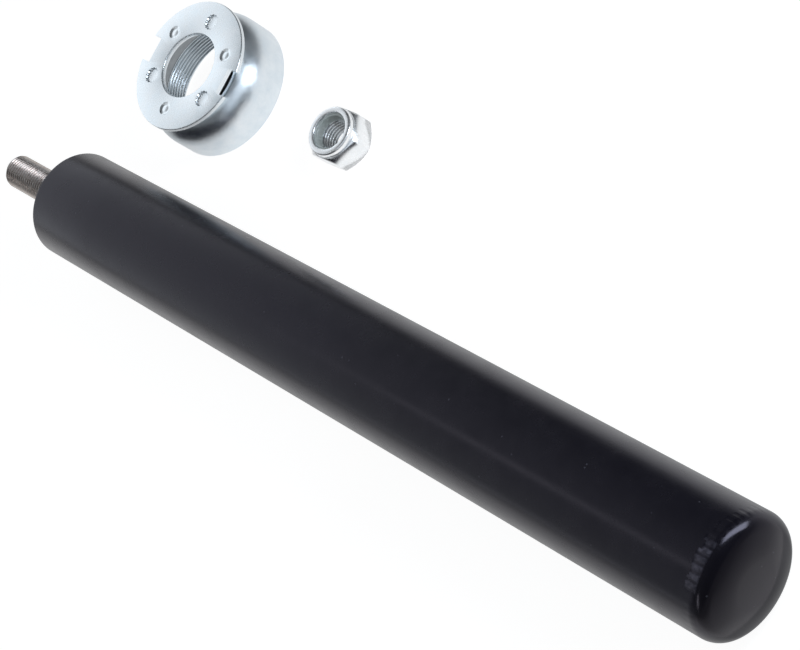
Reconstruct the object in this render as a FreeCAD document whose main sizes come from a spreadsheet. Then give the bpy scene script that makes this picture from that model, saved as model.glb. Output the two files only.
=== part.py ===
import FreeCAD, Part
import math
import os
import Sketcher

# A strut insert: a sealed twin-tube damper cartridge that slips into a strut housing,
# with the collar nut that clamps it there and the lock nut for its rod.
# All lengths are millimetres. The cartridge lies along X: x = 0 is the small flat in the
# middle of its crowned base cap and +X is the rod end. The two nuts stand beside it on the
# same ground, +Z up.

vector = FreeCAD.Vector
document = FreeCAD.newDocument("StrutInsert")

# Driving sizes. A radius is named as one; everything else is a length or a count.
driving_sizes = {
    # outer tube and base cap
    "tube_radius": 22.0,
    "tube_wall": 1.5,
    "tube_length": 359.8,
    "lip_width": 4.4,
    "lip_thickness": 1.5,
    "lip_round": 1.2,
    "base_shoulder": 6.0,
    "cap_seat_radius": 8.0,
    "cap_crown_radius": 31.0,
    "cap_rise": 3.8,
    "cap_floor": 2.5,
    "cap_skirt_wall": 1.9,
    "cap_skirt_length": 8.7,
    "cap_inner_round": 2.0,
    # fits
    "press_gap": 0.02,
    "slide_gap": 0.04,
    "loose_gap": 0.05,
    # pressure tube
    "barrel_radius": 15.0,
    "barrel_wall": 1.5,
    # base valve
    "foot_height": 6.5,
    "foot_wall": 3.2,
    "foot_slot_width": 5.0,
    "foot_slot_height": 3.5,
    "foot_slot_count": 4,
    "valve_flange": 5.0,
    "valve_flange_radius": 16.5,
    "valve_spigot": 4.0,
    "intake_ring_radius": 11.6,
    "intake_hole_radius": 1.2,
    "intake_hole_count": 8,
    "blowoff_ring_radius": 6.8,
    "blowoff_hole_radius": 1.0,
    "blowoff_hole_count": 6,
    "seat_land_height": 0.4,
    "disc_thickness": 0.3,
    "disc_step": 1.0,
    "disc_overlap": 1.0,
    "compression_disc_count": 3,
    "bolt_radius": 3.0,
    "bolt_head_radius": 5.0,
    "bolt_head_height": 3.0,
    "bolt_end": 0.7,
    "bolt_nut_flats": 9.0,
    "bolt_nut_height": 3.5,
    "valve_plate_thickness": 0.8,
    "valve_plate_lift": 1.0,
    "window_margin": 0.4,
    "intake_plate_edge": 1.0,
    "spring_hub_radius": 4.4,
    "spring_hub_flange": 1.7,
    "spring_hub_plate": 1.2,
    "spring_hub_spare": 0.4,
    "cone_spring_thickness": 0.25,
    "cone_spring_slot": 1.4,
    "cone_spring_slots": 6,
    # piston and what clamps it
    "rest_gap": 3.4,
    "spigot_radius": 6.0,
    "spigot_end": 0.6,
    "piston_nut_flats": 22.0,
    "piston_nut_head": 5.0,
    "sleeve_radius": 7.4,
    "rebound_spring_length": 8.4,
    "rebound_spring_radius": 9.5,
    "rebound_wire_radius": 0.85,
    "rebound_spring_pitch": 2.6,
    "spring_seat_thickness": 1.6,
    "spring_seat_radius": 11.2,
    "rebound_disc_count": 2,
    "rebound_disc_margin": 0.8,
    "piston_height": 14.0,
    "piston_gap": 0.1,
    "band_height": 10.0,
    "band_thickness": 1.0,
    "rebound_ring_radius": 9.2,
    "rebound_hole_radius": 0.9,
    "rebound_hole_count": 8,
    "check_ring_radius": 12.2,
    "check_hole_radius": 1.1,
    "check_hole_count": 8,
    "check_plate_edge": 1.1,
    "check_hub_flange": 3.6,
    # rod
    "rod_radius": 10.0,
    "rod_standout": 6.0,
    "rod_chamfer": 1.0,
    "stud_radius": 7.0,
    "stud_length": 40.0,
    "stud_chamfer": 1.8,
    "stud_relief_depth": 1.0,
    "stud_relief_width": 2.5,
    "socket_flats": 7.0,
    "socket_depth": 8.0,
    "stop_distance": 85.0,
    "stop_ring_width": 2.0,
    "stop_ring_depth": 1.0,
    "stop_ring_rise": 1.6,
    "stop_ring_gap": 2.4,
    "bumper_length": 12.0,
    "bumper_wall": 3.6,
    "bumper_bevel": 1.4,
    # rod guide, bush and seals
    "guide_head": 20.3,
    "guide_spigot": 8.0,
    "guide_recess_wall": 3.25,
    "guide_recess_depth": 10.3,
    "bush_wall": 1.0,
    "bush_inset": 1.0,
    "flute_width": 4.0,
    "flute_depth": 1.6,
    "flute_count": 3,
    "return_hole_radius": 0.9,
    "ring_groove_setback": 4.2,
    "ring_groove_width": 3.2,
    "ring_cord_radius": 0.8,
    "seal_disc_thickness": 1.8,
    "seal_disc_room": 3.0,
    "seal_body_inset": 0.6,
    "seal_body_depth": 3.2,
    "seal_depth": 8.3,
    "seal_bore_room": 1.0,
    "seal_wall": 2.9,
    "seal_lip_width": 1.0,
    "seal_lip_slope": 1.2,
    "seal_toe": 0.7,
    "dust_lip_rise": 1.6,
    "dust_lip_wall": 1.6,
    "garter_groove_start": 7.2,
    "garter_groove_width": 2.0,
    "garter_groove_depth": 0.8,
    "garter_wire_radius": 0.7,
    # collar nut
    "collar_nut_setback": 24.0,
    "collar_nut_aside": 48.35,
    "collar_nut_height": 25.6,
    "collar_thread_room": 1.2,
    "collar_wall": 5.9,
    "collar_thread_length": 11.0,
    "collar_mouth_chamfer": 1.2,
    "collar_edge_chamfer": 0.6,
    "collar_undercut_depth": 1.0,
    "collar_undercut_length": 3.0,
    "collar_bore_gap": 0.4,
    "collar_web": 4.5,
    "collar_web_room": 3.35,
    "collar_web_bevel": 2.0,
    "collar_neck_height": 2.5,
    "collar_relief_land": 2.0,
    "collar_shoulder_inset": 5.5,
    "collar_shoulder_round": 13.0,
    "plate_inset": 1.2,
    "plate_thickness": 2.0,
    "plate_hole_room": 3.85,
    "plate_edge_round": 0.4,
    "notch_width": 10.8,
    "notch_depth": 5.3,
    "notch_count": 2,
    "mark_inset": 8.3,
    "mark_count": 3,
    "deep_mark_radius": 3.2,
    "deep_mark_depth": 0.9,
    "round_mark_radius": 2.7,
    "round_mark_floor": 0.6,
    "round_mark_depth": 0.6,
    # lock nut
    "lock_nut_setback": 100.5,
    "lock_nut_aside": 49.3,
    "lock_nut_turn": 2.4,
    "lock_nut_flats": 21.0,
    "lock_nut_hex": 10.6,
    "lock_nut_height": 13.5,
    "lock_nut_face_inset": 0.15,
    "lock_nut_collar_step": 0.2,
    "lock_nut_collar_round": 1.0,
    "lock_nut_thread_depth": 0.8,
    "lock_nut_mouth_chamfer": 0.9,
    "lock_nut_pocket_depth": 4.6,
    "lock_nut_pocket_wall": 1.45,
    "lock_nut_lip": 1.2,
    "lock_nut_lip_room": 0.65,
    "insert_bore_room": 0.45,
}

sheet = document.addObject("Spreadsheet::Sheet", "Sizes")
for row, (alias, number) in enumerate(driving_sizes.items(), start=1):
    sheet.set(f"A{row}", alias.replace("_", " "))
    sheet.set(f"B{row}", str(number))
    sheet.setAlias(f"B{row}", alias)
document.recompute()


# A size that knows both its number and the sheet expression it is bound to, so that sizes
# are added and subtracted in plain arithmetic and every result stays tied to the sheet.
class Size:
    def __init__(self, expression, number):
        self.expression = expression
        self.number = float(number)

    def __add__(self, other):
        other = as_size(other)
        return Size(f"({self.expression} + {other.expression})", self.number + other.number)

    def __sub__(self, other):
        other = as_size(other)
        return Size(f"({self.expression} - {other.expression})", self.number - other.number)

    def __mul__(self, other):
        other = as_size(other)
        return Size(f"({self.expression} * {other.expression})", self.number * other.number)

    def __truediv__(self, other):
        other = as_size(other)
        return Size(f"({self.expression} / {other.expression})", self.number / other.number)

    def __neg__(self):
        return Size(f"(0 - {self.expression})", -self.number)

    def root(self):
        return Size(f"sqrt({self.expression})", math.sqrt(self.number))


def as_size(value):
    if isinstance(value, Size):
        return value
    return Size(repr(float(value)), value)


# The sizes by name, as the rest of the model reads them: size.tube_radius and so on.
class SheetSizes:
    pass


size = SheetSizes()
for alias in driving_sizes:
    setattr(size, alias, Size(f"Sizes.{alias}", sheet.get(alias)))

cosine_30 = Size("cos(30 deg)", math.cos(math.radians(30)))
tangent_30 = Size("tan(30 deg)", math.tan(math.radians(30)))
origin_size = as_size(0)


def bind(thing, property_name, value):
    value = as_size(value)
    thing.setExpression(property_name, value.expression)


def new_body(label):
    body = document.addObject("PartDesign::Body", label)
    body.Label = label
    return body


def origin_feature(body, role):
    return next(item for item in body.Origin.OriginFeatures if item.Role == role)


def new_sketch(body, plane, name):
    sketch = body.newObject("Sketcher::SketchObject", f"{body.Label}_{name}")
    sketch.AttachmentSupport = [(origin_feature(body, plane), "")]
    sketch.MapMode = "FlatFace"
    return sketch


# Ties one end of a sketch line to a place measured from the sketch's origin.
def pin_point(sketch, geometry, end, across, up):
    for axis, value in (("DistanceX", across), ("DistanceY", up)):
        if abs(value.number) < 1e-9:
            other_axis = -2 if axis == "DistanceX" else -1
            sketch.addConstraint(Sketcher.Constraint("PointOnObject", geometry, end, other_axis))
            continue
        index = sketch.addConstraint(
            Sketcher.Constraint(axis, -1, 1, geometry, end, value.number))
        bind(sketch, f"Constraints[{index}]", value)


# An arc of the given radius between two points. A positive radius bulges to the right of the
# way from start to finish, a negative one to the left. A sketch keeps its arcs anticlockwise,
# so the numbers of the arc's ends at start and at finish come back with it.
def make_arc(start, finish, radius):
    chord = finish - start
    reach = math.sqrt(radius * radius - chord.Length * chord.Length / 4)
    to_left = vector(-chord.y, chord.x, 0).normalize()
    centre = (start + finish) * 0.5 + to_left * math.copysign(reach, radius)
    first, last = (start, finish) if radius > 0 else (finish, start)
    circle = Part.Circle(centre, vector(0, 0, 1), abs(radius))
    arc = Part.ArcOfCircle(
        circle,
        math.atan2(first.y - centre.y, first.x - centre.x),
        math.atan2(last.y - centre.y, last.x - centre.x))
    return arc, ((1, 2) if radius > 0 else (2, 1))


# A closed outline through the given points. Each point is (across, up), or
# (across, up, radius) where the stretch that leaves it is an arc of that radius.
def add_outline(sketch, points):
    first = sketch.GeometryCount
    count = len(points)
    places = [(as_size(point[0]), as_size(point[1])) for point in points]
    corners = [vector(across.number, up.number, 0) for across, up in places]
    ends = []
    for index, point in enumerate(points):
        start = corners[index]
        finish = corners[(index + 1) % count]
        if len(point) == 3:
            stretch, stretch_ends = make_arc(start, finish, point[2].number)
        else:
            stretch, stretch_ends = Part.LineSegment(start, finish), (1, 2)
        sketch.addGeometry(stretch, False)
        ends.append(stretch_ends)
    for index in range(count):
        following = (index + 1) % count
        sketch.addConstraint(Sketcher.Constraint(
            "Coincident", first + index, ends[index][1], first + following, ends[following][0]))
    for index in range(count):
        pin_point(sketch, first + index, ends[index][0], *places[index])
    for index, point in enumerate(points):
        if len(point) == 3:
            radius = point[2] if point[2].number > 0 else -point[2]
            constraint = sketch.addConstraint(
                Sketcher.Constraint("Radius", first + index, radius.number))
            bind(sketch, f"Constraints[{constraint}]", radius)


def add_circle(sketch, across, up, radius):
    across, up, radius = as_size(across), as_size(up), as_size(radius)
    centre = vector(across.number, up.number, 0)
    index = sketch.addGeometry(Part.Circle(centre, vector(0, 0, 1), radius.number), False)
    if abs(across.number) < 1e-9 and abs(up.number) < 1e-9:
        sketch.addConstraint(Sketcher.Constraint("Coincident", index, 3, -1, 1))
    else:
        pin_point(sketch, index, 3, across, up)
    constraint = sketch.addConstraint(Sketcher.Constraint("Radius", index, radius.number))
    bind(sketch, f"Constraints[{constraint}]", radius)


# A regular hexagon about the sketch's origin, two flats crossing the upright axis.
def add_hexagon(sketch, flats):
    half_flats = flats / 2
    corner = half_flats / cosine_30
    half_corner = corner / 2
    add_outline(sketch, [
        (corner, origin_size), (half_corner, half_flats), (-half_corner, half_flats),
        (-corner, origin_size), (-half_corner, -half_flats), (half_corner, -half_flats)])


# A piece turned about X from an outline of (x, radius) points.
def turned_on_x(label, points):
    body = new_body(label)
    sketch = new_sketch(body, "XY_Plane", "outline")
    add_outline(sketch, points)
    turn = body.newObject("PartDesign::Revolution", f"{label}_turn")
    turn.Profile = sketch
    turn.ReferenceAxis = (sketch, ["H_Axis"])
    turn.Angle = 360
    sketch.Visibility = False
    document.recompute()
    return body


# A piece turned about its own Z from an outline of (radius, height) points.
def turned_on_z(label, points):
    body = new_body(label)
    sketch = new_sketch(body, "XZ_Plane", "outline")
    add_outline(sketch, points)
    turn = body.newObject("PartDesign::Revolution", f"{label}_turn")
    turn.Profile = sketch
    turn.ReferenceAxis = (sketch, ["V_Axis"])
    turn.Angle = 360
    sketch.Visibility = False
    document.recompute()
    return body


# Cuts a sketch's shape out of the piece, from the sketch's plane along its normal.
def pocket(body, sketch, name, depth=None):
    cut = body.newObject("PartDesign::Pocket", f"{body.Label}_{name}")
    cut.Profile = sketch
    cut.Reversed = True
    if depth is None:
        cut.Type = "ThroughAll"
    else:
        cut.Type = "Length"
        bind(cut, "Length", depth)
    sketch.Visibility = False
    document.recompute()
    return cut


def polar(body, features, name, axis, count):
    pattern = body.newObject("PartDesign::PolarPattern", f"{body.Label}_{name}")
    pattern.Originals = features
    pattern.Axis = (origin_feature(body, axis), [""])
    pattern.Angle = 360
    bind(pattern, "Occurrences", count)
    body.Tip = pattern
    document.recompute()
    return pattern


# A ring of round holes right through the piece, parallel to X.
def drill_ring(body, name, ring_radius, hole_radius, count):
    sketch = new_sketch(body, "YZ_Plane", f"{name}_hole")
    add_circle(sketch, ring_radius, 0, hole_radius)
    hole = pocket(body, sketch, f"{name}_drilling")
    polar(body, [hole], f"{name}_ring", "X_Axis", count)


# Cuts a hexagon's flats on the widest part of a piece turned about X or Z.
def mill_flats(body, plane, flats, outer_radius):
    sketch = new_sketch(body, plane, "flats")
    add_hexagon(sketch, flats)
    add_circle(sketch, 0, 0, outer_radius)
    pocket(body, sketch, "milled_flats")


# The cap's face is crowned: a small flat seat, then a wide arc that runs smoothly into the
# shoulder's arc. Both arcs are equally steep where they meet.
crown_slope = ((size.tube_radius - size.base_shoulder - size.cap_seat_radius)
               / (size.cap_crown_radius - size.base_shoulder))
crown_level = (as_size(1) - crown_slope * crown_slope).root()
crown_edge_radius = size.cap_seat_radius + size.cap_crown_radius * crown_slope
crown_edge = size.cap_crown_radius * (as_size(1) - crown_level)
shoulder_start = crown_edge - size.base_shoulder * (as_size(1) - crown_level)

# Places along X that several pieces share, counted from the base cap's flat seat.
shoulder_end = shoulder_start + size.base_shoulder
tube_start = shoulder_start + size.cap_rise
tube_end = tube_start + size.tube_length
tube_bore = size.tube_radius - size.tube_wall
lip_radius = size.tube_radius - size.lip_width
foot_start = shoulder_start + size.cap_floor
valve_underside = foot_start + size.foot_height
barrel_start = valve_underside + size.valve_flange
guide_end = tube_end - size.lip_thickness - size.seal_disc_thickness
barrel_end = guide_end - size.guide_head
valve_top = barrel_start + size.valve_spigot
bolt_hole = size.bolt_radius + size.loose_gap


# Outer tube: rolled in at both ends, over the base cap and over the seal.
def make_reserve_tube():
    shoulder_drop = size.base_shoulder - size.cap_rise
    joint_radius = (size.tube_radius - size.base_shoulder
                    + (size.base_shoulder * size.base_shoulder - shoulder_drop * shoulder_drop).root())
    turned_on_x("reserve_tube", [
        (tube_start, tube_bore),
        (tube_start, joint_radius, -size.base_shoulder),
        (shoulder_end, size.tube_radius),
        (tube_end - size.lip_round, size.tube_radius, -size.lip_round),
        (tube_end, size.tube_radius - size.lip_round),
        (tube_end, lip_radius),
        (tube_end - size.lip_thickness, lip_radius),
        (tube_end - size.lip_thickness, tube_bore)])
    return joint_radius


# Pressed base cap: a crowned face with a rounded edge that carries on the tube's shoulder,
# and a skirt up inside the tube.
def make_base_cap(joint_radius):
    skirt_radius = tube_bore - size.press_gap
    skirt_inner = skirt_radius - size.cap_skirt_wall
    skirt_end = tube_start + size.cap_skirt_length
    turned_on_x("base_cap", [
        (origin_size, origin_size),
        (origin_size, size.cap_seat_radius, -size.cap_crown_radius),
        (crown_edge, crown_edge_radius, -size.base_shoulder),
        (tube_start, joint_radius),
        (tube_start, skirt_radius),
        (skirt_end, skirt_radius),
        (skirt_end, skirt_inner),
        (foot_start + size.cap_inner_round, skirt_inner, size.cap_inner_round),
        (foot_start, skirt_inner - size.cap_inner_round),
        (foot_start, origin_size)])


# Pressure tube: the bore that the piston works in.
def make_pressure_tube():
    barrel_outer = size.barrel_radius + size.barrel_wall
    turned_on_x("pressure_tube", [
        (barrel_start, size.barrel_radius),
        (barrel_start, barrel_outer),
        (barrel_end, barrel_outer),
        (barrel_end, size.barrel_radius)])


# Base valve body: stands on the cap on a slotted foot, closes the pressure tube's lower end
# and holds two rings of passages, one for each way the oil flows.
def make_base_valve_body():
    foot_inner = size.valve_flange_radius - size.foot_wall
    spigot = size.barrel_radius - size.press_gap
    land = size.seat_land_height
    body = turned_on_x("base_valve_body", [
        (foot_start, foot_inner),
        (foot_start, size.valve_flange_radius),
        (barrel_start, size.valve_flange_radius),
        (barrel_start, spigot),
        (valve_top - land, spigot),
        (valve_top - land, size.intake_ring_radius + size.intake_hole_radius + size.window_margin),
        (valve_top, size.intake_ring_radius + size.intake_hole_radius + size.window_margin),
        (valve_top, bolt_hole),
        (valve_underside, bolt_hole),
        (valve_underside, foot_inner)])
    drill_ring(body, "intake", size.intake_ring_radius, size.intake_hole_radius,
               size.intake_hole_count)
    drill_ring(body, "blowoff", size.blowoff_ring_radius, size.blowoff_hole_radius,
               size.blowoff_hole_count)
    slot = new_sketch(body, "XY_Plane", "foot_slot")
    half_width = size.foot_slot_width / 2
    slot_end = foot_start + size.foot_slot_height
    add_outline(slot, [
        (foot_start, -half_width), (slot_end, -half_width),
        (slot_end, half_width), (foot_start, half_width)])
    cut = pocket(body, slot, "foot_slot_cut")
    polar(body, [cut], "foot_slots", "X_Axis", size.foot_slot_count)


# Thin spring-steel discs under the base valve, each smaller than the one above it.
def make_compression_discs():
    first_radius = size.blowoff_ring_radius + size.blowoff_hole_radius + size.disc_overlap
    count = int(size.compression_disc_count.number)
    for number in range(count):
        top = valve_underside - size.disc_thickness * number
        radius = first_radius - size.disc_step * number
        turned_on_x(f"compression_disc_{number + 1}", [
            (top - size.disc_thickness, bolt_hole),
            (top - size.disc_thickness, radius),
            (top, radius),
            (top, bolt_hole)])
    return valve_underside - size.disc_thickness * count


# The washer that a light valve spring pushes against: a hub that guides the plate and a
# flange above it that stops the plate's lift.
def make_spring_hub(label, start, hole, hub_radius, flange):
    flange_start = start + size.valve_plate_thickness + size.valve_plate_lift + size.spring_hub_spare
    flange_end = flange_start + size.spring_hub_plate
    turned_on_x(label, [
        (start, hole),
        (start, hub_radius),
        (flange_start, hub_radius),
        (flange_start, hub_radius + flange),
        (flange_end, hub_radius + flange),
        (flange_end, hole)])
    return flange_start, flange_end


# A flat valve plate that slides on a hub, with windows for the passages it must not close.
def make_valve_plate(label, start, hub_radius, outer_radius, window_ring, window_radius, count):
    end = start + size.valve_plate_thickness
    inner_radius = hub_radius + size.slide_gap
    body = turned_on_x(label, [
        (start, inner_radius),
        (start, outer_radius),
        (end, outer_radius),
        (end, inner_radius)])
    drill_ring(body, "window", window_ring, window_radius, count)


# A conical spring washer with open slots, from the flange down to the outer edge of the plate.
def make_cone_spring(label, plate_top, flange_start, inner_radius, outer_radius):
    thickness = size.cone_spring_thickness
    body = turned_on_x(label, [
        (flange_start - thickness, inner_radius),
        (flange_start, inner_radius),
        (plate_top + thickness, outer_radius),
        (plate_top, outer_radius)])
    slot = new_sketch(body, "YZ_Plane", "slot")
    half_width = size.cone_spring_slot / 2
    quarter = (outer_radius - inner_radius) / 4
    add_outline(slot, [
        (inner_radius + quarter, -half_width), (outer_radius - quarter, -half_width),
        (outer_radius - quarter, half_width), (inner_radius + quarter, half_width)])
    cut = pocket(body, slot, "slot_cut")
    polar(body, [cut], "slots", "X_Axis", size.cone_spring_slots)


# Bolt and nut that clamp the base valve together.
def make_base_valve_bolt(head_top, nut_start):
    nut_end = nut_start + size.bolt_nut_height
    bolt_end = nut_end + size.bolt_end
    turned_on_x("base_valve_bolt", [
        (head_top - size.bolt_head_height, origin_size),
        (head_top - size.bolt_head_height, size.bolt_head_radius),
        (head_top, size.bolt_head_radius),
        (head_top, size.bolt_radius),
        (bolt_end, size.bolt_radius),
        (bolt_end, origin_size)])
    make_hex_nut("base_valve_nut", nut_start, nut_end, bolt_hole, size.bolt_nut_flats)
    return bolt_end


# A plain hexagon nut turned about X, with both ends bevelled at 30 degrees.
def make_hex_nut(label, start, end, hole, flats):
    corner = flats / 2 / cosine_30
    face = flats / 2
    drop = (corner - face) * tangent_30
    body = turned_on_x(label, [
        (start, hole), (start, face), (start + drop, corner),
        (end - drop, corner), (end, face), (end, hole)])
    mill_flats(body, "YZ_Plane", flats, corner + size.bolt_radius)
    return body


# Piston nut: a hexagon head, a spring seat and a long sleeve that clamps the piston.
def make_piston_nut(start):
    head_end = start + size.piston_nut_head
    corner = size.piston_nut_flats / 2 / cosine_30
    face = size.piston_nut_flats / 2
    drop = (corner - face) * tangent_30
    hole = size.spigot_radius + size.loose_gap
    piston_start = (head_end + size.rebound_spring_length + size.spring_seat_thickness
                    + size.disc_thickness * size.rebound_disc_count)
    body = turned_on_x("piston_nut", [
        (start, hole), (start, face), (start + drop, corner), (head_end, corner),
        (head_end, size.sleeve_radius), (piston_start, size.sleeve_radius), (piston_start, hole)])
    mill_flats(body, "YZ_Plane", size.piston_nut_flats, corner + size.spigot_radius)
    return head_end, piston_start


# Coil spring round the sleeve, the seat it pushes and the discs that close the piston's
# inner passages from below.
def make_rebound_valve(spring_start, piston_start):
    spring_end = spring_start + size.rebound_spring_length
    spring = new_body("rebound_spring")
    wire = new_sketch(spring, "XY_Plane", "wire")
    wire_room = size.rebound_wire_radius + size.loose_gap
    add_circle(wire, spring_start + wire_room, size.rebound_spring_radius,
               size.rebound_wire_radius)
    coil = spring.newObject("PartDesign::AdditiveHelix", "rebound_spring_coil")
    coil.Profile = wire
    coil.ReferenceAxis = (wire, ["H_Axis"])
    coil.Mode = "pitch-height-angle"
    bind(coil, "Pitch", size.rebound_spring_pitch)
    bind(coil, "Height", size.rebound_spring_length - wire_room * 2)
    wire.Visibility = False
    document.recompute()

    seat_end = spring_end + size.spring_seat_thickness
    slide_hole = size.sleeve_radius + size.slide_gap
    seat_lip = size.spring_seat_thickness / 2
    turned_on_x("rebound_spring_seat", [
        (spring_end, slide_hole),
        (spring_end, size.spring_seat_radius),
        (spring_end + seat_lip, size.spring_seat_radius),
        (seat_end, size.rebound_ring_radius + size.rebound_hole_radius),
        (seat_end, slide_hole)])
    disc_radius = (size.rebound_ring_radius + size.rebound_hole_radius
                   + size.rebound_disc_margin)
    for number in range(int(size.rebound_disc_count.number)):
        end = piston_start - size.disc_thickness * number
        turned_on_x(f"rebound_disc_{number + 1}", [
            (end - size.disc_thickness, slide_hole),
            (end - size.disc_thickness, disc_radius),
            (end, disc_radius),
            (end, slide_hole)])


# Sintered piston with two rings of passages, and the band that runs in the bore.
def make_piston(start):
    end = start + size.piston_height
    outer = size.barrel_radius - size.piston_gap
    groove_radius = size.barrel_radius - size.slide_gap - size.band_thickness - size.loose_gap
    groove_start = start + (size.piston_height - size.band_height) / 2 - size.loose_gap
    groove_end = end - (size.piston_height - size.band_height) / 2 + size.loose_gap
    hole = size.spigot_radius + size.loose_gap
    piston = turned_on_x("piston", [
        (start, hole), (start, outer), (groove_start, outer), (groove_start, groove_radius),
        (groove_end, groove_radius), (groove_end, outer), (end, outer), (end, hole)])
    drill_ring(piston, "rebound", size.rebound_ring_radius, size.rebound_hole_radius,
               size.rebound_hole_count)
    drill_ring(piston, "check", size.check_ring_radius, size.check_hole_radius,
               size.check_hole_count)
    band_inner = groove_radius + size.loose_gap
    band_outer = size.barrel_radius - size.slide_gap
    turned_on_x("piston_band", [
        (groove_start + size.loose_gap, band_inner),
        (groove_start + size.loose_gap, band_outer),
        (groove_end - size.loose_gap, band_outer),
        (groove_end - size.loose_gap, band_inner)])
    return end


# Piston rod: a spigot for the piston, a ground shaft with a groove for its stop ring, and
# the fixing stud with a socket in its end to hold the rod still.
def make_piston_rod(nut_start, shaft_start):
    shaft_end = tube_end + size.rod_standout
    stud_end = shaft_end + size.stud_length
    groove_start = shaft_start + size.stop_distance
    groove_end = groove_start + size.stop_ring_width
    groove_radius = size.rod_radius - size.stop_ring_depth
    relief_end = shaft_end + size.stud_relief_width
    relief_radius = size.stud_radius - size.stud_relief_depth
    rod = turned_on_x("piston_rod", [
        (nut_start + size.spigot_end, origin_size),
        (nut_start + size.spigot_end, size.spigot_radius),
        (shaft_start, size.spigot_radius),
        (shaft_start, size.rod_radius),
        (groove_start, size.rod_radius),
        (groove_start, groove_radius),
        (groove_end, groove_radius),
        (groove_end, size.rod_radius),
        (shaft_end - size.rod_chamfer, size.rod_radius),
        (shaft_end, size.rod_radius - size.rod_chamfer),
        (shaft_end, relief_radius),
        (relief_end, relief_radius),
        (relief_end + size.stud_relief_depth, size.stud_radius),
        (stud_end - size.stud_chamfer, size.stud_radius),
        (stud_end, size.stud_radius - size.stud_chamfer),
        (stud_end, origin_size)])
    hexagon = new_sketch(rod, "YZ_Plane", "socket")
    hexagon.AttachmentOffset = FreeCAD.Placement(
        vector(0, 0, (stud_end - size.socket_depth).number), FreeCAD.Rotation())
    bind(hexagon, "AttachmentOffset.Base.z", stud_end - size.socket_depth)
    add_hexagon(hexagon, size.socket_flats)
    pocket(rod, hexagon, "socket_cut")
    return groove_start, groove_end


# Snap ring in the rod's groove and the rubber bumper that rides on it.
def make_rebound_stop(groove_start, groove_end):
    ring = turned_on_x("stop_ring", [
        (groove_start + size.loose_gap, size.rod_radius - size.stop_ring_depth + size.loose_gap),
        (groove_start + size.loose_gap, size.rod_radius + size.stop_ring_rise),
        (groove_end - size.loose_gap, size.rod_radius + size.stop_ring_rise),
        (groove_end - size.loose_gap, size.rod_radius - size.stop_ring_depth + size.loose_gap)])
    gap = new_sketch(ring, "YZ_Plane", "gap")
    half_gap = size.stop_ring_gap / 2
    add_outline(gap, [
        (origin_size, -half_gap), (size.barrel_radius, -half_gap),
        (size.barrel_radius, half_gap), (origin_size, half_gap)])
    pocket(ring, gap, "gap_cut")
    start = groove_end - size.loose_gap
    end = start + size.bumper_length
    inner = size.rod_radius + size.loose_gap
    outer = size.rod_radius + size.bumper_wall
    turned_on_x("rebound_bumper", [
        (start, inner), (start, outer), (end - size.bumper_bevel, outer),
        (end, outer - size.bumper_bevel), (end, inner)])
    return end


# Rod guide: centred in both tubes, with flutes and drillings that let the oil scraped off
# the rod run back between the tubes.
def make_rod_guide():
    spigot = size.barrel_radius - size.press_gap
    outer = tube_bore - size.loose_gap
    guide_start = barrel_end - size.guide_spigot
    recess_floor = guide_end - size.guide_recess_depth
    recess_radius = outer - size.guide_recess_wall
    bush_seat = size.rod_radius + size.slide_gap + size.bush_wall + size.loose_gap
    ring_groove_end = guide_end - size.ring_groove_setback
    ring_groove_start = ring_groove_end - size.ring_groove_width
    ring_groove_radius = tube_bore - size.ring_cord_radius * 2 - size.loose_gap * 2
    guide = turned_on_x("rod_guide", [
        (guide_start, bush_seat), (guide_start, spigot), (barrel_end, spigot),
        (barrel_end, outer), (ring_groove_start, outer), (ring_groove_start, ring_groove_radius),
        (ring_groove_end, ring_groove_radius), (ring_groove_end, outer), (guide_end, outer),
        (guide_end, recess_radius), (recess_floor, recess_radius),
        (recess_floor, bush_seat)])
    drilling_centre = recess_floor + size.return_hole_radius * 1.5
    drilling_end = drilling_centre + size.return_hole_radius
    flute = new_sketch(guide, "YZ_Plane", "flute")
    bind(flute, "AttachmentOffset.Base.z", barrel_end)
    half_width = size.flute_width / 2
    add_outline(flute, [
        (outer - size.flute_depth, -half_width), (size.tube_radius, -half_width),
        (size.tube_radius, half_width), (outer - size.flute_depth, half_width)])
    flute_cut = pocket(guide, flute, "flute_cut", drilling_end - barrel_end)
    polar(guide, [flute_cut], "flutes", "X_Axis", size.flute_count)
    drilling = new_sketch(guide, "XZ_Plane", "drilling")
    add_circle(drilling, drilling_centre, 0, size.return_hole_radius)
    drilling_cut = guide.newObject("PartDesign::Pocket", "rod_guide_drilling_cut")
    drilling_cut.Profile = drilling
    drilling_cut.Type = "ThroughAll"
    drilling.Visibility = False
    document.recompute()
    polar(guide, [drilling_cut], "drillings", "X_Axis", size.flute_count)

    bush_inner = size.rod_radius + size.slide_gap
    bush_outer = bush_seat - size.loose_gap
    turned_on_x("guide_bush", [
        (guide_start + size.bush_inset, bush_inner), (guide_start + size.bush_inset, bush_outer),
        (recess_floor - size.bush_inset, bush_outer), (recess_floor - size.bush_inset, bush_inner)])
    cord_centre = (ring_groove_start + ring_groove_end) / 2
    cord_ring = ring_groove_radius + size.loose_gap + size.ring_cord_radius
    turned_cord("guide_o_ring", cord_centre, cord_ring, size.ring_cord_radius)


# A round cord bent into a ring about X.
def turned_cord(label, centre, ring_radius, cord_radius):
    body = new_body(label)
    sketch = new_sketch(body, "XY_Plane", "cord")
    add_circle(sketch, centre, ring_radius, cord_radius)
    turn = body.newObject("PartDesign::Revolution", f"{label}_turn")
    turn.Profile = sketch
    turn.ReferenceAxis = (sketch, ["H_Axis"])
    turn.Angle = 360
    sketch.Visibility = False
    document.recompute()


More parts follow.
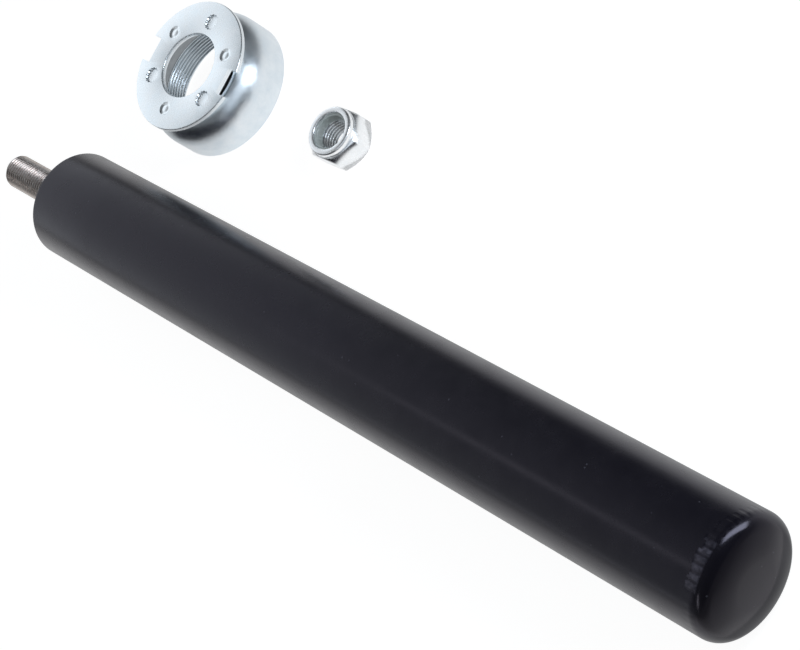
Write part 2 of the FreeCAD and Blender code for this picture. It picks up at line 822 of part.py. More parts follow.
# Rod seal: rubber moulded through a steel disc, with an oil lip under a garter spring and a
# dust lip on top. The tube's rolled lip holds the disc down on the guide.
def make_rod_seal():
    disc_end = guide_end + size.seal_disc_thickness
    disc_bore = size.rod_radius + size.seal_disc_room
    turned_on_x("seal_disc", [
        (guide_end, disc_bore), (guide_end, tube_bore - size.loose_gap),
        (disc_end, tube_bore - size.loose_gap), (disc_end, disc_bore)])
    neck = size.rod_radius + size.seal_wall
    bore = size.rod_radius + size.seal_bore_room
    body_radius = lip_radius - size.seal_body_inset
    lip = size.rod_radius + size.loose_gap
    toe = guide_end - size.seal_depth
    groove_start = guide_end - size.garter_groove_start
    groove_end = groove_start + size.garter_groove_width
    groove_radius = neck - size.garter_groove_depth
    body_start = guide_end - size.seal_body_depth
    lip_start = toe + size.seal_toe
    lip_end = lip_start + size.seal_lip_width
    dust_end = disc_end + size.dust_lip_rise
    dust_start = dust_end - size.seal_lip_width
    turned_on_x("oil_seal", [
        (toe, lip + size.seal_toe), (toe, neck), (groove_start, neck),
        (groove_start, groove_radius), (groove_end, groove_radius), (groove_end, neck),
        (body_start, neck), (body_start, body_radius),
        (guide_end, body_radius), (guide_end, neck), (disc_end, neck),
        (dust_end, size.rod_radius + size.dust_lip_wall), (dust_end, lip), (dust_start, lip),
        (dust_start - size.seal_lip_slope, bore), (lip_end + size.seal_lip_slope, bore),
        (lip_end, lip), (lip_start, lip)])
    garter_ring = groove_radius + size.loose_gap + size.garter_wire_radius
    turned_cord("garter_spring", (groove_start + groove_end) / 2, garter_ring,
                size.garter_wire_radius)


# Stands a piece that was turned about its own Z on the ground beside the cartridge.
def stand_on_ground(body, across, along, turn):
    place = vector(across.number, along.number, -size.tube_radius.number)
    body.Placement = FreeCAD.Placement(place, FreeCAD.Rotation(vector(0, 0, 1), turn.number))
    bind(body, "Placement.Base.x", across)
    bind(body, "Placement.Base.y", along)
    bind(body, "Placement.Base.z", -size.tube_radius)


# Collar nut: a threaded cup that screws over the strut housing, with a domed shoulder, a
# neck, and a notched plate welded on top that the rod passes through.
def make_collar_nut():
    place_x = tube_end - size.collar_nut_setback
    place_y = -(size.tube_radius + size.collar_nut_aside)
    bore = size.tube_radius + size.collar_bore_gap
    thread_radius = size.tube_radius + size.collar_thread_room
    body_radius = thread_radius + size.collar_wall
    shoulder_radius = body_radius - size.collar_shoulder_inset
    plate_hole = size.rod_radius + size.plate_hole_room
    web_radius = plate_hole + size.collar_web_room
    plate_start = size.collar_nut_height - size.plate_thickness
    web_start = plate_start - size.collar_web
    shoulder_top = plate_start - size.collar_neck_height
    flat_run = size.collar_shoulder_round - size.collar_shoulder_inset
    shoulder_rise = (size.collar_shoulder_round * size.collar_shoulder_round
                     - flat_run * flat_run).root()
    thread_end = size.collar_mouth_chamfer + size.collar_thread_length
    undercut_end = thread_end + size.collar_undercut_length
    undercut_radius = thread_radius + size.collar_undercut_depth
    edge = size.collar_edge_chamfer
    shell = turned_on_z("collar_nut_shell", [
        (thread_radius + size.collar_mouth_chamfer, origin_size),
        (body_radius - edge, origin_size),
        (body_radius, edge),
        (body_radius, shoulder_top - shoulder_rise, size.collar_shoulder_round),
        (shoulder_radius, shoulder_top),
        (bore, shoulder_top),
        (bore, plate_start),
        (web_radius, plate_start),
        (web_radius, plate_start - size.collar_web_bevel),
        (web_radius + size.collar_web_bevel, web_start),
        (bore, web_start),
        (bore, undercut_end),
        (undercut_radius, undercut_end),
        (undercut_radius, thread_end),
        (thread_radius, thread_end),
        (thread_radius, size.collar_mouth_chamfer)])
    relief = new_sketch(shell, "XY_Plane", "relief")
    bind(relief, "AttachmentOffset.Base.z", shoulder_top)
    half_width = size.notch_width / 2
    relief_floor = web_radius + size.collar_relief_land
    add_outline(relief, [
        (relief_floor, -half_width), (body_radius, -half_width),
        (body_radius, half_width), (relief_floor, half_width)])
    relief_cut = pocket(shell, relief, "relief_cut")
    polar(shell, [relief_cut], "reliefs", "Z_Axis", size.notch_count)
    stand_on_ground(shell, place_x, place_y, origin_size)

    plate_radius = body_radius - size.plate_inset
    edge_round = size.plate_edge_round
    plate = turned_on_z("collar_nut_plate", [
        (plate_hole, plate_start),
        (plate_radius, plate_start),
        (plate_radius, size.collar_nut_height - edge_round, edge_round),
        (plate_radius - edge_round, size.collar_nut_height),
        (plate_hole + edge_round, size.collar_nut_height, edge_round),
        (plate_hole, size.collar_nut_height - edge_round)])
    notch = new_sketch(plate, "XY_Plane", "notch")
    notch_floor = plate_radius - size.notch_depth
    notch_reach = plate_radius + size.notch_depth
    add_outline(notch, [
        (notch_floor, -half_width), (notch_reach, -half_width),
        (notch_reach, half_width), (notch_floor, half_width)])
    notch_cut = pocket(plate, notch, "notch_cut")
    polar(plate, [notch_cut], "notches", "Z_Axis", size.notch_count)
    press_marks(plate, plate_radius - size.mark_inset)
    stand_on_ground(plate, place_x, place_y, origin_size)


# Six weld marks pressed in the plate, by turns a deep flat one and a shallow round one.
def press_marks(plate, circle_radius):
    top = size.collar_nut_height
    deep = new_sketch(plate, "XY_Plane", "deep_mark")
    bind(deep, "AttachmentOffset.Base.z", top - size.deep_mark_depth)
    add_circle(deep, circle_radius * cosine_30, circle_radius / 2, size.deep_mark_radius)
    deep_cut = pocket(plate, deep, "deep_mark_cut")
    polar(plate, [deep_cut], "deep_marks", "Z_Axis", size.mark_count)
    depth = size.round_mark_depth
    run = size.round_mark_radius - size.round_mark_floor
    bowl = new_sketch(plate, "YZ_Plane", "round_mark")
    add_outline(bowl, [
        (circle_radius, top - depth),
        (circle_radius + size.round_mark_floor, top - depth,
         (run * run + depth * depth) / (depth * 2)),
        (circle_radius + size.round_mark_radius, top),
        (circle_radius, top)])
    groove = plate.newObject("PartDesign::Groove", "collar_nut_plate_round_mark_cut")
    groove.Profile = bowl
    groove.ReferenceAxis = (bowl, ["Edge4"])
    groove.Angle = 360
    bowl.Visibility = False
    document.recompute()
    polar(plate, [groove], "round_marks", "Z_Axis", size.mark_count)


# Self-locking nut: a hexagon with a rolled collar that holds a nylon ring.
def make_lock_nut():
    place_x = tube_end - size.lock_nut_setback
    place_y = -(size.tube_radius + size.lock_nut_aside)
    thread_radius = size.stud_radius - size.lock_nut_thread_depth
    corner = size.lock_nut_flats / 2 / cosine_30
    face_radius = size.lock_nut_flats / 2 - size.lock_nut_face_inset
    drop = (corner - face_radius) * tangent_30
    collar_radius = face_radius - size.lock_nut_collar_step
    height = size.lock_nut_height
    pocket_end = height - size.lock_nut_lip
    pocket_start = height - size.lock_nut_pocket_depth
    pocket_radius = collar_radius - size.lock_nut_pocket_wall
    lip_hole = size.stud_radius + size.lock_nut_lip_room
    nut = turned_on_z("lock_nut_body", [
        (thread_radius + size.lock_nut_mouth_chamfer, origin_size),
        (face_radius, origin_size),
        (corner, drop),
        (corner, size.lock_nut_hex - drop),
        (face_radius, size.lock_nut_hex),
        (collar_radius, size.lock_nut_hex),
        (collar_radius, height - size.lock_nut_collar_round, size.lock_nut_collar_round),
        (collar_radius - size.lock_nut_collar_round, height),
        (lip_hole, height),
        (lip_hole, pocket_end),
        (pocket_radius, pocket_end),
        (pocket_radius, pocket_start),
        (thread_radius, pocket_start),
        (thread_radius, size.lock_nut_mouth_chamfer)])
    mill_flats(nut, "XY_Plane", size.lock_nut_flats, corner + size.lock_nut_lip)
    stand_on_ground(nut, place_x, place_y, size.lock_nut_turn)
    insert_bore = thread_radius + size.insert_bore_room
    insert = turned_on_z("lock_nut_insert", [
        (insert_bore, pocket_start),
        (pocket_radius - size.press_gap, pocket_start),
        (pocket_radius - size.press_gap, pocket_end),
        (insert_bore, pocket_end)])
    stand_on_ground(insert, place_x, place_y, size.lock_nut_turn)


def build():
    joint_radius = make_reserve_tube()
    make_base_cap(joint_radius)
    make_pressure_tube()

    make_base_valve_body()
    head_top = make_compression_discs()
    flange_start, flange_end = make_spring_hub(
        "intake_spring_hub", valve_top, bolt_hole, size.spring_hub_radius, size.spring_hub_flange)
    make_valve_plate(
        "intake_plate", valve_top, size.spring_hub_radius,
        size.barrel_radius - size.intake_plate_edge, size.blowoff_ring_radius,
        size.blowoff_hole_radius + size.window_margin, size.blowoff_hole_count)
    make_cone_spring(
        "intake_spring", valve_top + size.valve_plate_thickness, flange_start,
        size.spring_hub_radius + size.loose_gap, size.intake_ring_radius)
    bolt_end = make_base_valve_bolt(head_top, flange_end)

    nut_start = bolt_end + size.rest_gap
    head_end, piston_start = make_piston_nut(nut_start)
    make_rebound_valve(head_end, piston_start)
    piston_end = make_piston(piston_start)
    flange_start, shaft_start = make_spring_hub(
        "check_spring_hub", piston_end, size.spigot_radius + size.loose_gap,
        size.sleeve_radius, size.check_hub_flange)
    make_valve_plate(
        "check_plate", piston_end, size.sleeve_radius,
        size.barrel_radius - size.check_plate_edge, size.rebound_ring_radius,
        size.rebound_hole_radius + size.window_margin / 2, size.rebound_hole_count)
    make_cone_spring(
        "check_spring", piston_end + size.valve_plate_thickness, flange_start,
        size.sleeve_radius + size.loose_gap, size.check_ring_radius)
    groove_start, groove_end = make_piston_rod(nut_start, shaft_start)
    bumper_end = make_rebound_stop(groove_start, groove_end)

    make_rod_guide()
    make_rod_seal()
    make_collar_nut()
    make_lock_nut()
    stroke = barrel_end - size.guide_spigot - bumper_end
    overall = tube_end + size.rod_standout + size.stud_length
    print(f"stroke {stroke.number:.2f} mm, overall {overall.number:.1f} mm")


# Every feature must be healthy and every cut must take something away.
def check_features():
    for item in document.Objects:
        if "Invalid" in item.State or "Error" in item.State:
            raise ValueError(f"{item.Name} failed: {item.State}")
    cutting = ("PartDesign::Pocket", "PartDesign::Groove")
    for body in document.findObjects("PartDesign::Body"):
        before = None
        for feature in body.Group:
            if feature.TypeId == "Sketcher::SketchObject":
                continue
            volume = feature.Shape.Volume
            patterned = feature.TypeId == "PartDesign::PolarPattern"
            if (feature.TypeId in cutting or patterned) and volume > before - 1e-3:
                raise ValueError(f"{feature.Name} cuts nothing")
            before = volume


def write_parts():
    os.makedirs("parts", exist_ok=True)
    for body in document.findObjects("PartDesign::Body"):
        shape = body.Shape
        if shape.isNull() or not shape.isValid() or len(shape.Solids) != 1:
            raise ValueError(f"{body.Label} has no single valid solid")
        shape.exportStep(f"parts/{body.Label}.step")
        print(f"{body.Label}: {shape.Volume:.1f} mm3")


build()
document.recompute()
check_features()
write_parts()
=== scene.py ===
import math

import bmesh
import bpy
from mathutils import Matrix, Vector


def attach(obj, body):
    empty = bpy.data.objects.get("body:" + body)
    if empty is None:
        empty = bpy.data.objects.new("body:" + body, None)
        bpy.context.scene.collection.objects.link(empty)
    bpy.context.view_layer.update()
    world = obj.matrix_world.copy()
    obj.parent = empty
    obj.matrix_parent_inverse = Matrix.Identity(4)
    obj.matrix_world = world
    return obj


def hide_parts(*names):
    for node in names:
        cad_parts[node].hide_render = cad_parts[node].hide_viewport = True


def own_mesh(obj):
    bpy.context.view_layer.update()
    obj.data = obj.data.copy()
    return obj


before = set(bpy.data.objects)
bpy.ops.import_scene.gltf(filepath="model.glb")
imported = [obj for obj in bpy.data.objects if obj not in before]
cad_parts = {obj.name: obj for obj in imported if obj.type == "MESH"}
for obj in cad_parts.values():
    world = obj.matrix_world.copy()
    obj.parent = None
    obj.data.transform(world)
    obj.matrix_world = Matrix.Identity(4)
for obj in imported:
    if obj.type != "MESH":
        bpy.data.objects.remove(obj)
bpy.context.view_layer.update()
millimetre = 0.001
print("frame loaded,", len(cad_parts), "nodes")


# How far the base cap's crown stands out before the tube's own measures begin, in millimetres.
# Places along the cartridge below are counted from behind it.
crown = 1.31455

# Camera: where the photograph was taken from, found from the outlines of the tube and the nuts.
view = {
    "place": (-0.359715 + crown * millimetre, -0.017733, 0.592279),
    "right": (-0.65400844, -0.47292652, -0.59043498),
    "up": (0.35017785, -0.88110115, 0.31786199),
    "back": (-0.67055831, 0.00112717, 0.74185598),
    "lens": 101.752,
}


# A new object in the scene, placed by its own three axes if they are given.
def newObject(name, data, place=None, axes=None):
    thing = bpy.data.objects.new(name, data)
    bpy.context.scene.collection.objects.link(thing)
    if axes:
        thing.matrix_world = Matrix.Translation(place) @ Matrix(axes).transposed().to_4x4()
    return thing


camera = newObject("camera", bpy.data.cameras.new("camera"), view["place"],
                   (view["right"], view["up"], view["back"]))
camera.data.lens = view["lens"]
camera.data.sensor_fit = "HORIZONTAL"
camera.data.sensor_width = 36
camera.data.clip_end = 200
bpy.context.scene.camera = camera
bpy.context.scene.view_settings.view_transform = "Standard"


def linearColour(hexCode):
    channels = [int(hexCode[start:start + 2], 16) / 255 for start in (1, 3, 5)]
    return [value / 12.92 if value <= 0.04045 else ((value + 0.055) / 1.055) ** 2.4
            for value in channels] + [1.0]


# Adds a node. An input is a value, a colour's hex code, an output, or a node that gives its
# first output in use; the rest are settings. A kind without the word Node is a shader node.
def addNode(tree, kind, inputs, **settings):
    node = tree.nodes.new(kind if "Node" in kind else "ShaderNode" + kind)
    for name, value in settings.items():
        setattr(node, name, value)
    for socket, value in inputs.items():
        if isinstance(value, str) and value.startswith("#"):
            value = linearColour(value)
        if isinstance(value, bpy.types.Node):
            value = next(output for output in value.outputs if output.enabled)
        if isinstance(value, bpy.types.NodeSocket):
            tree.links.new(value, node.inputs[socket])
        else:
            node.inputs[socket].default_value = value
    return node


# The room, as reflections see it: pale behind the far end and along its horizon, less pale on
# the nuts' side, dim overhead, dimmest in front of the cap, and with a pale panel beyond the
# tube. A fade runs along one axis of the direction, between two places and their two values.
room = {
    "colour": "#f5faff", "far": 1.18, "farRise": 2.4, "seen": 1.1,
    "fades": {
        "rise": ("X", 0.61, 0.765, 0.0, 1.0, "LINEAR"),
        "middle": ("Y", 0.0, -0.75, 0.42, 0.10, "LINEAR"),
        "middleReach": ("X", 0.30, 0.50, 0.0, 1.0, "SMOOTHSTEP"),
        "horizon": ("Z", 0.13, 0.04, 0.0, 1.0, "SMOOTHSTEP"),
        "horizonReach": ("X", 0.0, 0.5, 0.0, 1.0, "LINEAR"),
        "side": ("Z", 0.6, 0.05, 0.0, 0.33, "SMOOTHSTEP"),
        "sideReach": ("X", -0.4, 0.0, 0.0, 1.0, "LINEAR"),
        "nutSide": ("Y", -0.15, -0.5, 1.0, 0.10, "SMOOTHSTEP"),
        "panel": ("X", 0.05, 0.3, 0.0, 0.6, "SMOOTHSTEP"),
        "panelFar": ("X", 0.60, 0.48, 0.0, 1.0, "SMOOTHSTEP"),
        "panelSide": ("Y", 0.3, 0.55, 0.0, 1.0, "SMOOTHSTEP"),
        "panelRise": ("Z", 0.15, 0.35, 0.0, 1.0, "SMOOTHSTEP"),
        "ceiling": ("X", 0.35, 0.05, 0.02, 0.17, "LINEAR"),
        "front": ("X", -0.3, -0.75, 0.17, 0.11, "LINEAR"),
    },
}
# How the fades are joined, in order. The camera itself sees plain white.
roomSteps = [
    ("rise", "POWER", "rise", room["farRise"]),
    ("middle", "MULTIPLY", "middle", "middleReach"),
    ("behind", "SUBTRACT", room["far"], "middle"),
    ("behind", "MULTIPLY", "behind", "rise"),
    ("behind", "ADD", "behind", "middle"),
    ("horizon", "MULTIPLY", "horizon", "horizonReach"),
    ("side", "MULTIPLY", "side", "sideReach"),
    ("pale", "MAXIMUM", "horizon", "side"),
    ("pale", "MULTIPLY", "pale", "nutSide"),
    ("pale", "MAXIMUM", "pale", "behind"),
    ("panel", "MULTIPLY", "panel", "panelFar"),
    ("panel", "MULTIPLY", "panel", "panelSide"),
    ("panel", "MULTIPLY", "panel", "panelRise"),
    ("pale", "MAXIMUM", "pale", "panel"),
    ("ceiling", "MINIMUM", "ceiling", "front"),
    ("pale", "MAXIMUM", "pale", "ceiling"),
    ("seen", "MULTIPLY", "seen", room["seen"]),
    ("pale", "MAXIMUM", "pale", "seen"),
]

world = bpy.data.worlds.new("room")
world.use_nodes = True
tree = world.node_tree
tree.nodes.clear()
direction = addNode(tree, "SeparateXYZ", {
    0: addNode(tree, "TexCoord", {}).outputs["Generated"]}).outputs
levels = {"seen": addNode(tree, "LightPath", {}).outputs["Is Camera Ray"]}
for name, (axis, start, end, low, high, curve) in room["fades"].items():
    levels[name] = addNode(tree, "MapRange", {
        0: direction[axis], 1: start, 2: end, 3: low, 4: high}, interpolation_type=curve)
for name, operation, first, second in roomSteps:
    levels[name] = addNode(tree, "Math", {
        0: levels.get(first, first), 1: levels.get(second, second)}, operation=operation)
roomLight = addNode(tree, "Background", {"Color": room["colour"], "Strength": levels["pale"]})
addNode(tree, "OutputWorld", {"Surface": roomLight})
bpy.context.scene.world = world

# Lamps: brightness is what a mirror would show, where white is 1.
lamps = [
    {"name": "stripLamp", "place": (0.45, 0.35, 0.90), "aim": (0.25, 0.0, 0.0),
     "size": (0.90, 0.10), "along": (1, 0, 0), "brightness": 1.0, "colour": "#ffffff"},
    # An upright soft box beside the cap: its long reflection lies on the cap's shoulder.
    {"name": "keyLamp", "place": (-0.131, -0.345, 0.235), "aim": (0.12, -0.05, 0.235),
     "size": (0.16, 0.43), "along": (0.76, -0.65, 0), "brightness": 7.0, "colour": "#eaf4ff"},
    # A narrow one at the other side: a thin pale line beside the cap's dark edge.
    {"name": "rimLamp", "place": (-0.19, 0.52, 0.22), "aim": (0.0, 0.0, 0.0),
     "size": (0.05, 0.24), "along": (0.94, 0.34, 0), "brightness": 2.6, "colour": "#ffffff"},
    # An upright one over the tube that shines on the nuts: pale domes and chamfers. The tube
    # only reflects what lies behind it, so it never shows in the enamel.
    {"name": "nutLamp", "place": (0.16, -0.04, 0.13), "aim": (0.46, -0.10, 0.13),
     "size": (0.16, 0.16), "along": (0.2, 0.98, 0), "brightness": 0.75, "colour": "#eaf4ff"},
]

for lamp in lamps:
    data = bpy.data.lights.new(lamp["name"], "AREA")
    data.shape = "RECTANGLE"
    data.size, data.size_y = lamp["size"]
    data.color = linearColour(lamp["colour"])[:3]
    data.energy = lamp["brightness"] * math.pi * lamp["size"][0] * lamp["size"][1]
    back = (Vector(lamp["place"]) - Vector(lamp["aim"])).normalized()
    across = (Vector(lamp["along"]) - back * back.dot(Vector(lamp["along"]))).normalized()
    newObject(lamp["name"], data, lamp["place"], (across, back.cross(across), back))


# A flat sheet between two corners, at a height, in metres.
def laySheet(name, low, high, height):
    mesh = bpy.data.meshes.new(name)
    corners = (low, (high[0], low[1]), high, (low[0], high[1]))
    mesh.from_pydata([(*corner, height) for corner in corners], [], [(0, 1, 2, 3)])
    return newObject(name, mesh)


def bareMaterial(name):
    material = bpy.data.materials.new(name)
    material.use_nodes = True
    material.node_tree.nodes.clear()
    return material, material.node_tree


# Floor: it shows as white to the camera, less where the object shades it. In reflections it
# is a little less white, and fades across Y into the dark of the room at either side; close
# beside the tube it is darker still, as painted shade. A fade has its start, its end and the level
# there.
ground = {"height": -22.0, "reach": 20.0, "colour": "#8c8c8c", "glow": 0.92, "mirrored": 0.84,
          "fades": {"nutSide": (-0.06, -0.24, 0.15, "SMOOTHSTEP"),
                    "farSide": (0.08, 0.45, 0.4, "SMOOTHSTEP"),
                    "beside": (0.05, 0.022, 0.5, "LINEAR")}}

corner = ground["reach"]
floor = laySheet("floor", (-corner, -corner), (corner, corner), ground["height"] * millimetre)
paper, tree = bareMaterial("palePaper")
ray = addNode(tree, "LightPath", {}).outputs
across = addNode(tree, "SeparateXYZ", {
    0: addNode(tree, "TexCoord", {}).outputs["Object"]}).outputs["Y"]
aside = addNode(tree, "Math", {0: across}, operation="ABSOLUTE")
mirrored = ground["mirrored"] / ground["glow"]
# The fade beside the tube is painted shade: the tube's shade on the floor, as reflections see it.
for way, (start, end, level, curve) in ground["fades"].items():
    fade = addNode(tree, "MapRange", {
        0: aside if way == "beside" else across, 1: start, 2: end, 3: 1.0, 4: level},
        interpolation_type=curve)
    mirrored = addNode(tree, "Math", {0: mirrored, 1: fade}, operation="MULTIPLY")
seen = addNode(tree, "Math", {
    0: ray["Is Glossy Ray"], 1: mirrored, 2: ray["Is Camera Ray"]}, operation="MULTIPLY_ADD")
seen = addNode(tree, "Math", {0: seen, 1: ray["Is Transmission Ray"]}, operation="ADD")
strength = addNode(tree, "Math", {0: seen, 1: ground["glow"]}, operation="MULTIPLY")
glow = addNode(tree, "Emission", {"Strength": strength})
matt = addNode(tree, "BsdfDiffuse", {"Color": ground["colour"]})
both = addNode(tree, "AddShader", {0: glow, 1: matt})
addNode(tree, "OutputMaterial", {"Surface": both})
floor.data.materials.append(paper)

# Grey card on the floor in front of the cap, seen by reflections only: it fades from pale
# near the cap to dark, as the crowned face shows it. Its lengths are in metres.
greyCard = {"near": -0.006, "far": -9.0, "side": 6.0, "lift": 0.0005,
            "levels": (1.0, 0.62, 0.21), "places": (-0.006, -0.018, -0.085)}

card = laySheet("greyCard", (greyCard["far"], -greyCard["side"]),
                (greyCard["near"], greyCard["side"]),
                ground["height"] * millimetre + greyCard["lift"])
card.visible_camera = False
card.visible_diffuse = False
card.visible_transmission = False
card.visible_shadow = False
fade, tree = bareMaterial("fadingCard")
along = addNode(tree, "SeparateXYZ", {
    0: addNode(tree, "TexCoord", {}).outputs["Object"]}).outputs["X"]
near, far = [addNode(tree, "MapRange", {
    0: along, 1: greyCard["places"][step], 2: greyCard["places"][step + 1],
    3: greyCard["levels"][step], 4: greyCard["levels"][step + 1]}) for step in (0, 1)]
level = addNode(tree, "Math", {0: near, 1: far}, operation="MULTIPLY")
level = addNode(tree, "Math", {0: level, 1: greyCard["levels"][1]}, operation="DIVIDE")
shine = addNode(tree, "Emission", {"Strength": level})
addNode(tree, "OutputMaterial", {"Surface": shine})
card.data.materials.append(fade)
print("camera, room and floor set")


# A new material with its shader; grain sizes are in millimetres.
def startMaterial(name, values):
    material, tree = bareMaterial(name)
    shader = addNode(tree, "BsdfPrincipled", values)
    addNode(tree, "OutputMaterial", {"Surface": shader})
    place = addNode(tree, "TexCoord", {})
    return material, tree, shader, place.outputs["Object"]


def perMetre(size):
    return 1000 / size


# The span that nearly all of a noise's values lie in.
noiseSpan = (0.3, 0.7)


# Black stoving enamel, sprayed on the tube: soft gloss, a fine orange peel and specks of dust.
# Where its pale lands lie it turns patchy, pale and dull: partly rubbed wear, partly a painted
# highlight.
def makeEnamel(name, look):
    material, tree, shader, place = startMaterial(name, {
        "IOR": 1.5, "Specular IOR Level": look["specular"],
        "Specular Tint": look["sheen"]})
    cloud = addNode(tree, "TexNoise", {
        "Vector": place, "Scale": perMetre(look["cloud"]), "Detail": 3.0, "Roughness": 0.6})
    tint = addNode(tree, "Mix", {0: cloud, 6: look["deep"], 7: look["thin"]}, data_type="RGBA")
    dust = addNode(tree, "TexVoronoi", {
        "Vector": place, "Scale": perMetre(look["dustSpacing"])}).outputs
    speck = addNode(tree, "MapRange", {
        0: dust["Distance"], 1: look["dustSize"] * look["dustEdge"], 2: look["dustSize"]})
    choice = addNode(tree, "SeparateColor", {0: dust["Color"]})
    chosen = addNode(tree, "Math", {0: choice, 1: look["dustShare"]}, operation="LESS_THAN")
    speck = addNode(tree, "Math", {0: speck, 1: chosen}, operation="MULTIPLY")
    dusty = addNode(tree, "Mix", {0: speck, 6: tint, 7: look["dust"]}, data_type="RGBA")
    patches = addNode(tree, "TexNoise", {
        "Vector": place, "Scale": perMetre(look["patches"]), "Detail": 3.0})
    patches = addNode(tree, "MapRange", {
        0: patches, 1: look["patchSpan"][0], 2: look["patchSpan"][1],
        3: look["leastWorn"], 4: 1.0})
    # Pale, dull lands: partly rubbed wear, partly a painted highlight where they catch the light.
    wornAndLit = addNode(tree, "Attribute", {}, attribute_name="wornAndLit").outputs["Fac"]
    wornAndLit = addNode(tree, "Math", {0: wornAndLit, 1: patches}, operation="MULTIPLY")
    rubbedAndLit = addNode(tree, "Mix", {0: wornAndLit, 6: dusty, 7: look["wornAndLit"]}, data_type="RGBA")
    tree.links.new(rubbedAndLit.outputs[2], shader.inputs["Base Color"])
    rough = addNode(tree, "MapRange", {
        0: cloud, 1: noiseSpan[0], 2: noiseSpan[1],
        3: look["roughness"][0], 4: look["roughness"][1]})
    rough = addNode(tree, "Mix", {0: wornAndLit, 2: rough, 3: look["wornRoughness"]})
    tree.links.new(rough.outputs[0], shader.inputs["Roughness"])
    peel = addNode(tree, "TexNoise", {"Vector": place, "Scale": perMetre(look["peel"])})
    relief = addNode(tree, "Math", {
        0: speck, 1: look["dustRise"], 2: peel}, operation="MULTIPLY_ADD")
    bump = addNode(tree, "Bump", {"Distance": look["peelHeight"] * millimetre, "Height": relief})
    tree.links.new(bump.outputs[0], shader.inputs["Normal"])
    return material


enamel = {
    "deep": "#0b0a13", "thin": "#13121a", "wornAndLit": "#5a5864", "sheen": "#f0eaff",
    "specular": 0.39, "cloud": 9.0, "roughness": (0.22, 0.29), "wornRoughness": 0.5,
    "dust": "#3c3c44", "dustSpacing": 3.4, "dustSize": 0.07, "dustShare": 0.10,
    "dustEdge": 1.6, "dustRise": 0.3, "patches": 1.3, "patchSpan": (0.38, 0.62),
    "leastWorn": 0.35, "peel": 0.9, "peelHeight": 0.010,
}
materials = {"stovingEnamel": makeEnamel("stovingEnamel", enamel)}
# The same enamel on the pressed cap, a little glossier and dustier from handling.
materials["capEnamel"] = makeEnamel("capEnamel", {
    **enamel, "specular": 0.40, "cloud": 6.0, "roughness": (0.15, 0.22), "dust": "#4a4952",
    "dustSpacing": 2.4, "dustSize": 0.10, "dustShare": 0.09, "peel": 0.8})


# Metals and plain mouldings: a colour that drifts, a sheen that drifts with it, and a grain.
# A finish is metallic unless it says otherwise.
def makeFinish(name, look):
    material, tree, shader, place = startMaterial(name, {"Metallic": look.get("metallic", 1.0)})
    stretch = addNode(tree, "Mapping", {
        "Vector": place, "Scale": look.get("stretch", (1, 1, 1))})
    cloud = addNode(tree, "TexNoise", {
        "Vector": place, "Scale": perMetre(look["cloud"]), "Detail": 4.0, "Roughness": 0.6})
    grain = addNode(tree, "TexNoise", {
        "Vector": stretch, "Scale": perMetre(look["grain"]), "Detail": 3.0})
    drift = addNode(tree, "MapRange", {0: cloud, 1: noiseSpan[0], 2: noiseSpan[1]})
    tint = addNode(tree, "Mix", {
        0: drift, 6: look["colours"][0], 7: look["colours"][1]}, data_type="RGBA")
    # A thread's roots are painted towards the hollow colour: painted shade in the roots.
    if "hollow" in look:
        hollow = addNode(tree, "Attribute", {}, attribute_name="hollow")
        tint = addNode(tree, "Mix", {
            0: hollow.outputs["Fac"], 6: tint, 7: look["hollow"]}, data_type="RGBA")
    tree.links.new(tint.outputs[2], shader.inputs["Base Color"])
    both = addNode(tree, "Math", {0: cloud, 1: grain}, operation="ADD")
    rough = addNode(tree, "MapRange", {
        0: both, 1: 1 - noiseSpan[0], 2: 1 + noiseSpan[0],
        3: look["roughness"][0], 4: look["roughness"][1]})
    tree.links.new(rough.outputs[0], shader.inputs["Roughness"])
    bump = addNode(tree, "Bump", {"Distance": look["height"] * millimetre, "Height": grain})
    if "ripple" in look:
        wave = addNode(tree, "TexNoise", {
            "Vector": place, "Scale": perMetre(look["ripple"][0])})
        bump = addNode(tree, "Bump", {
            "Distance": look["ripple"][1] * millimetre, "Height": wave, "Normal": bump})
    tree.links.new(bump.outputs[0], shader.inputs["Normal"])
    return material


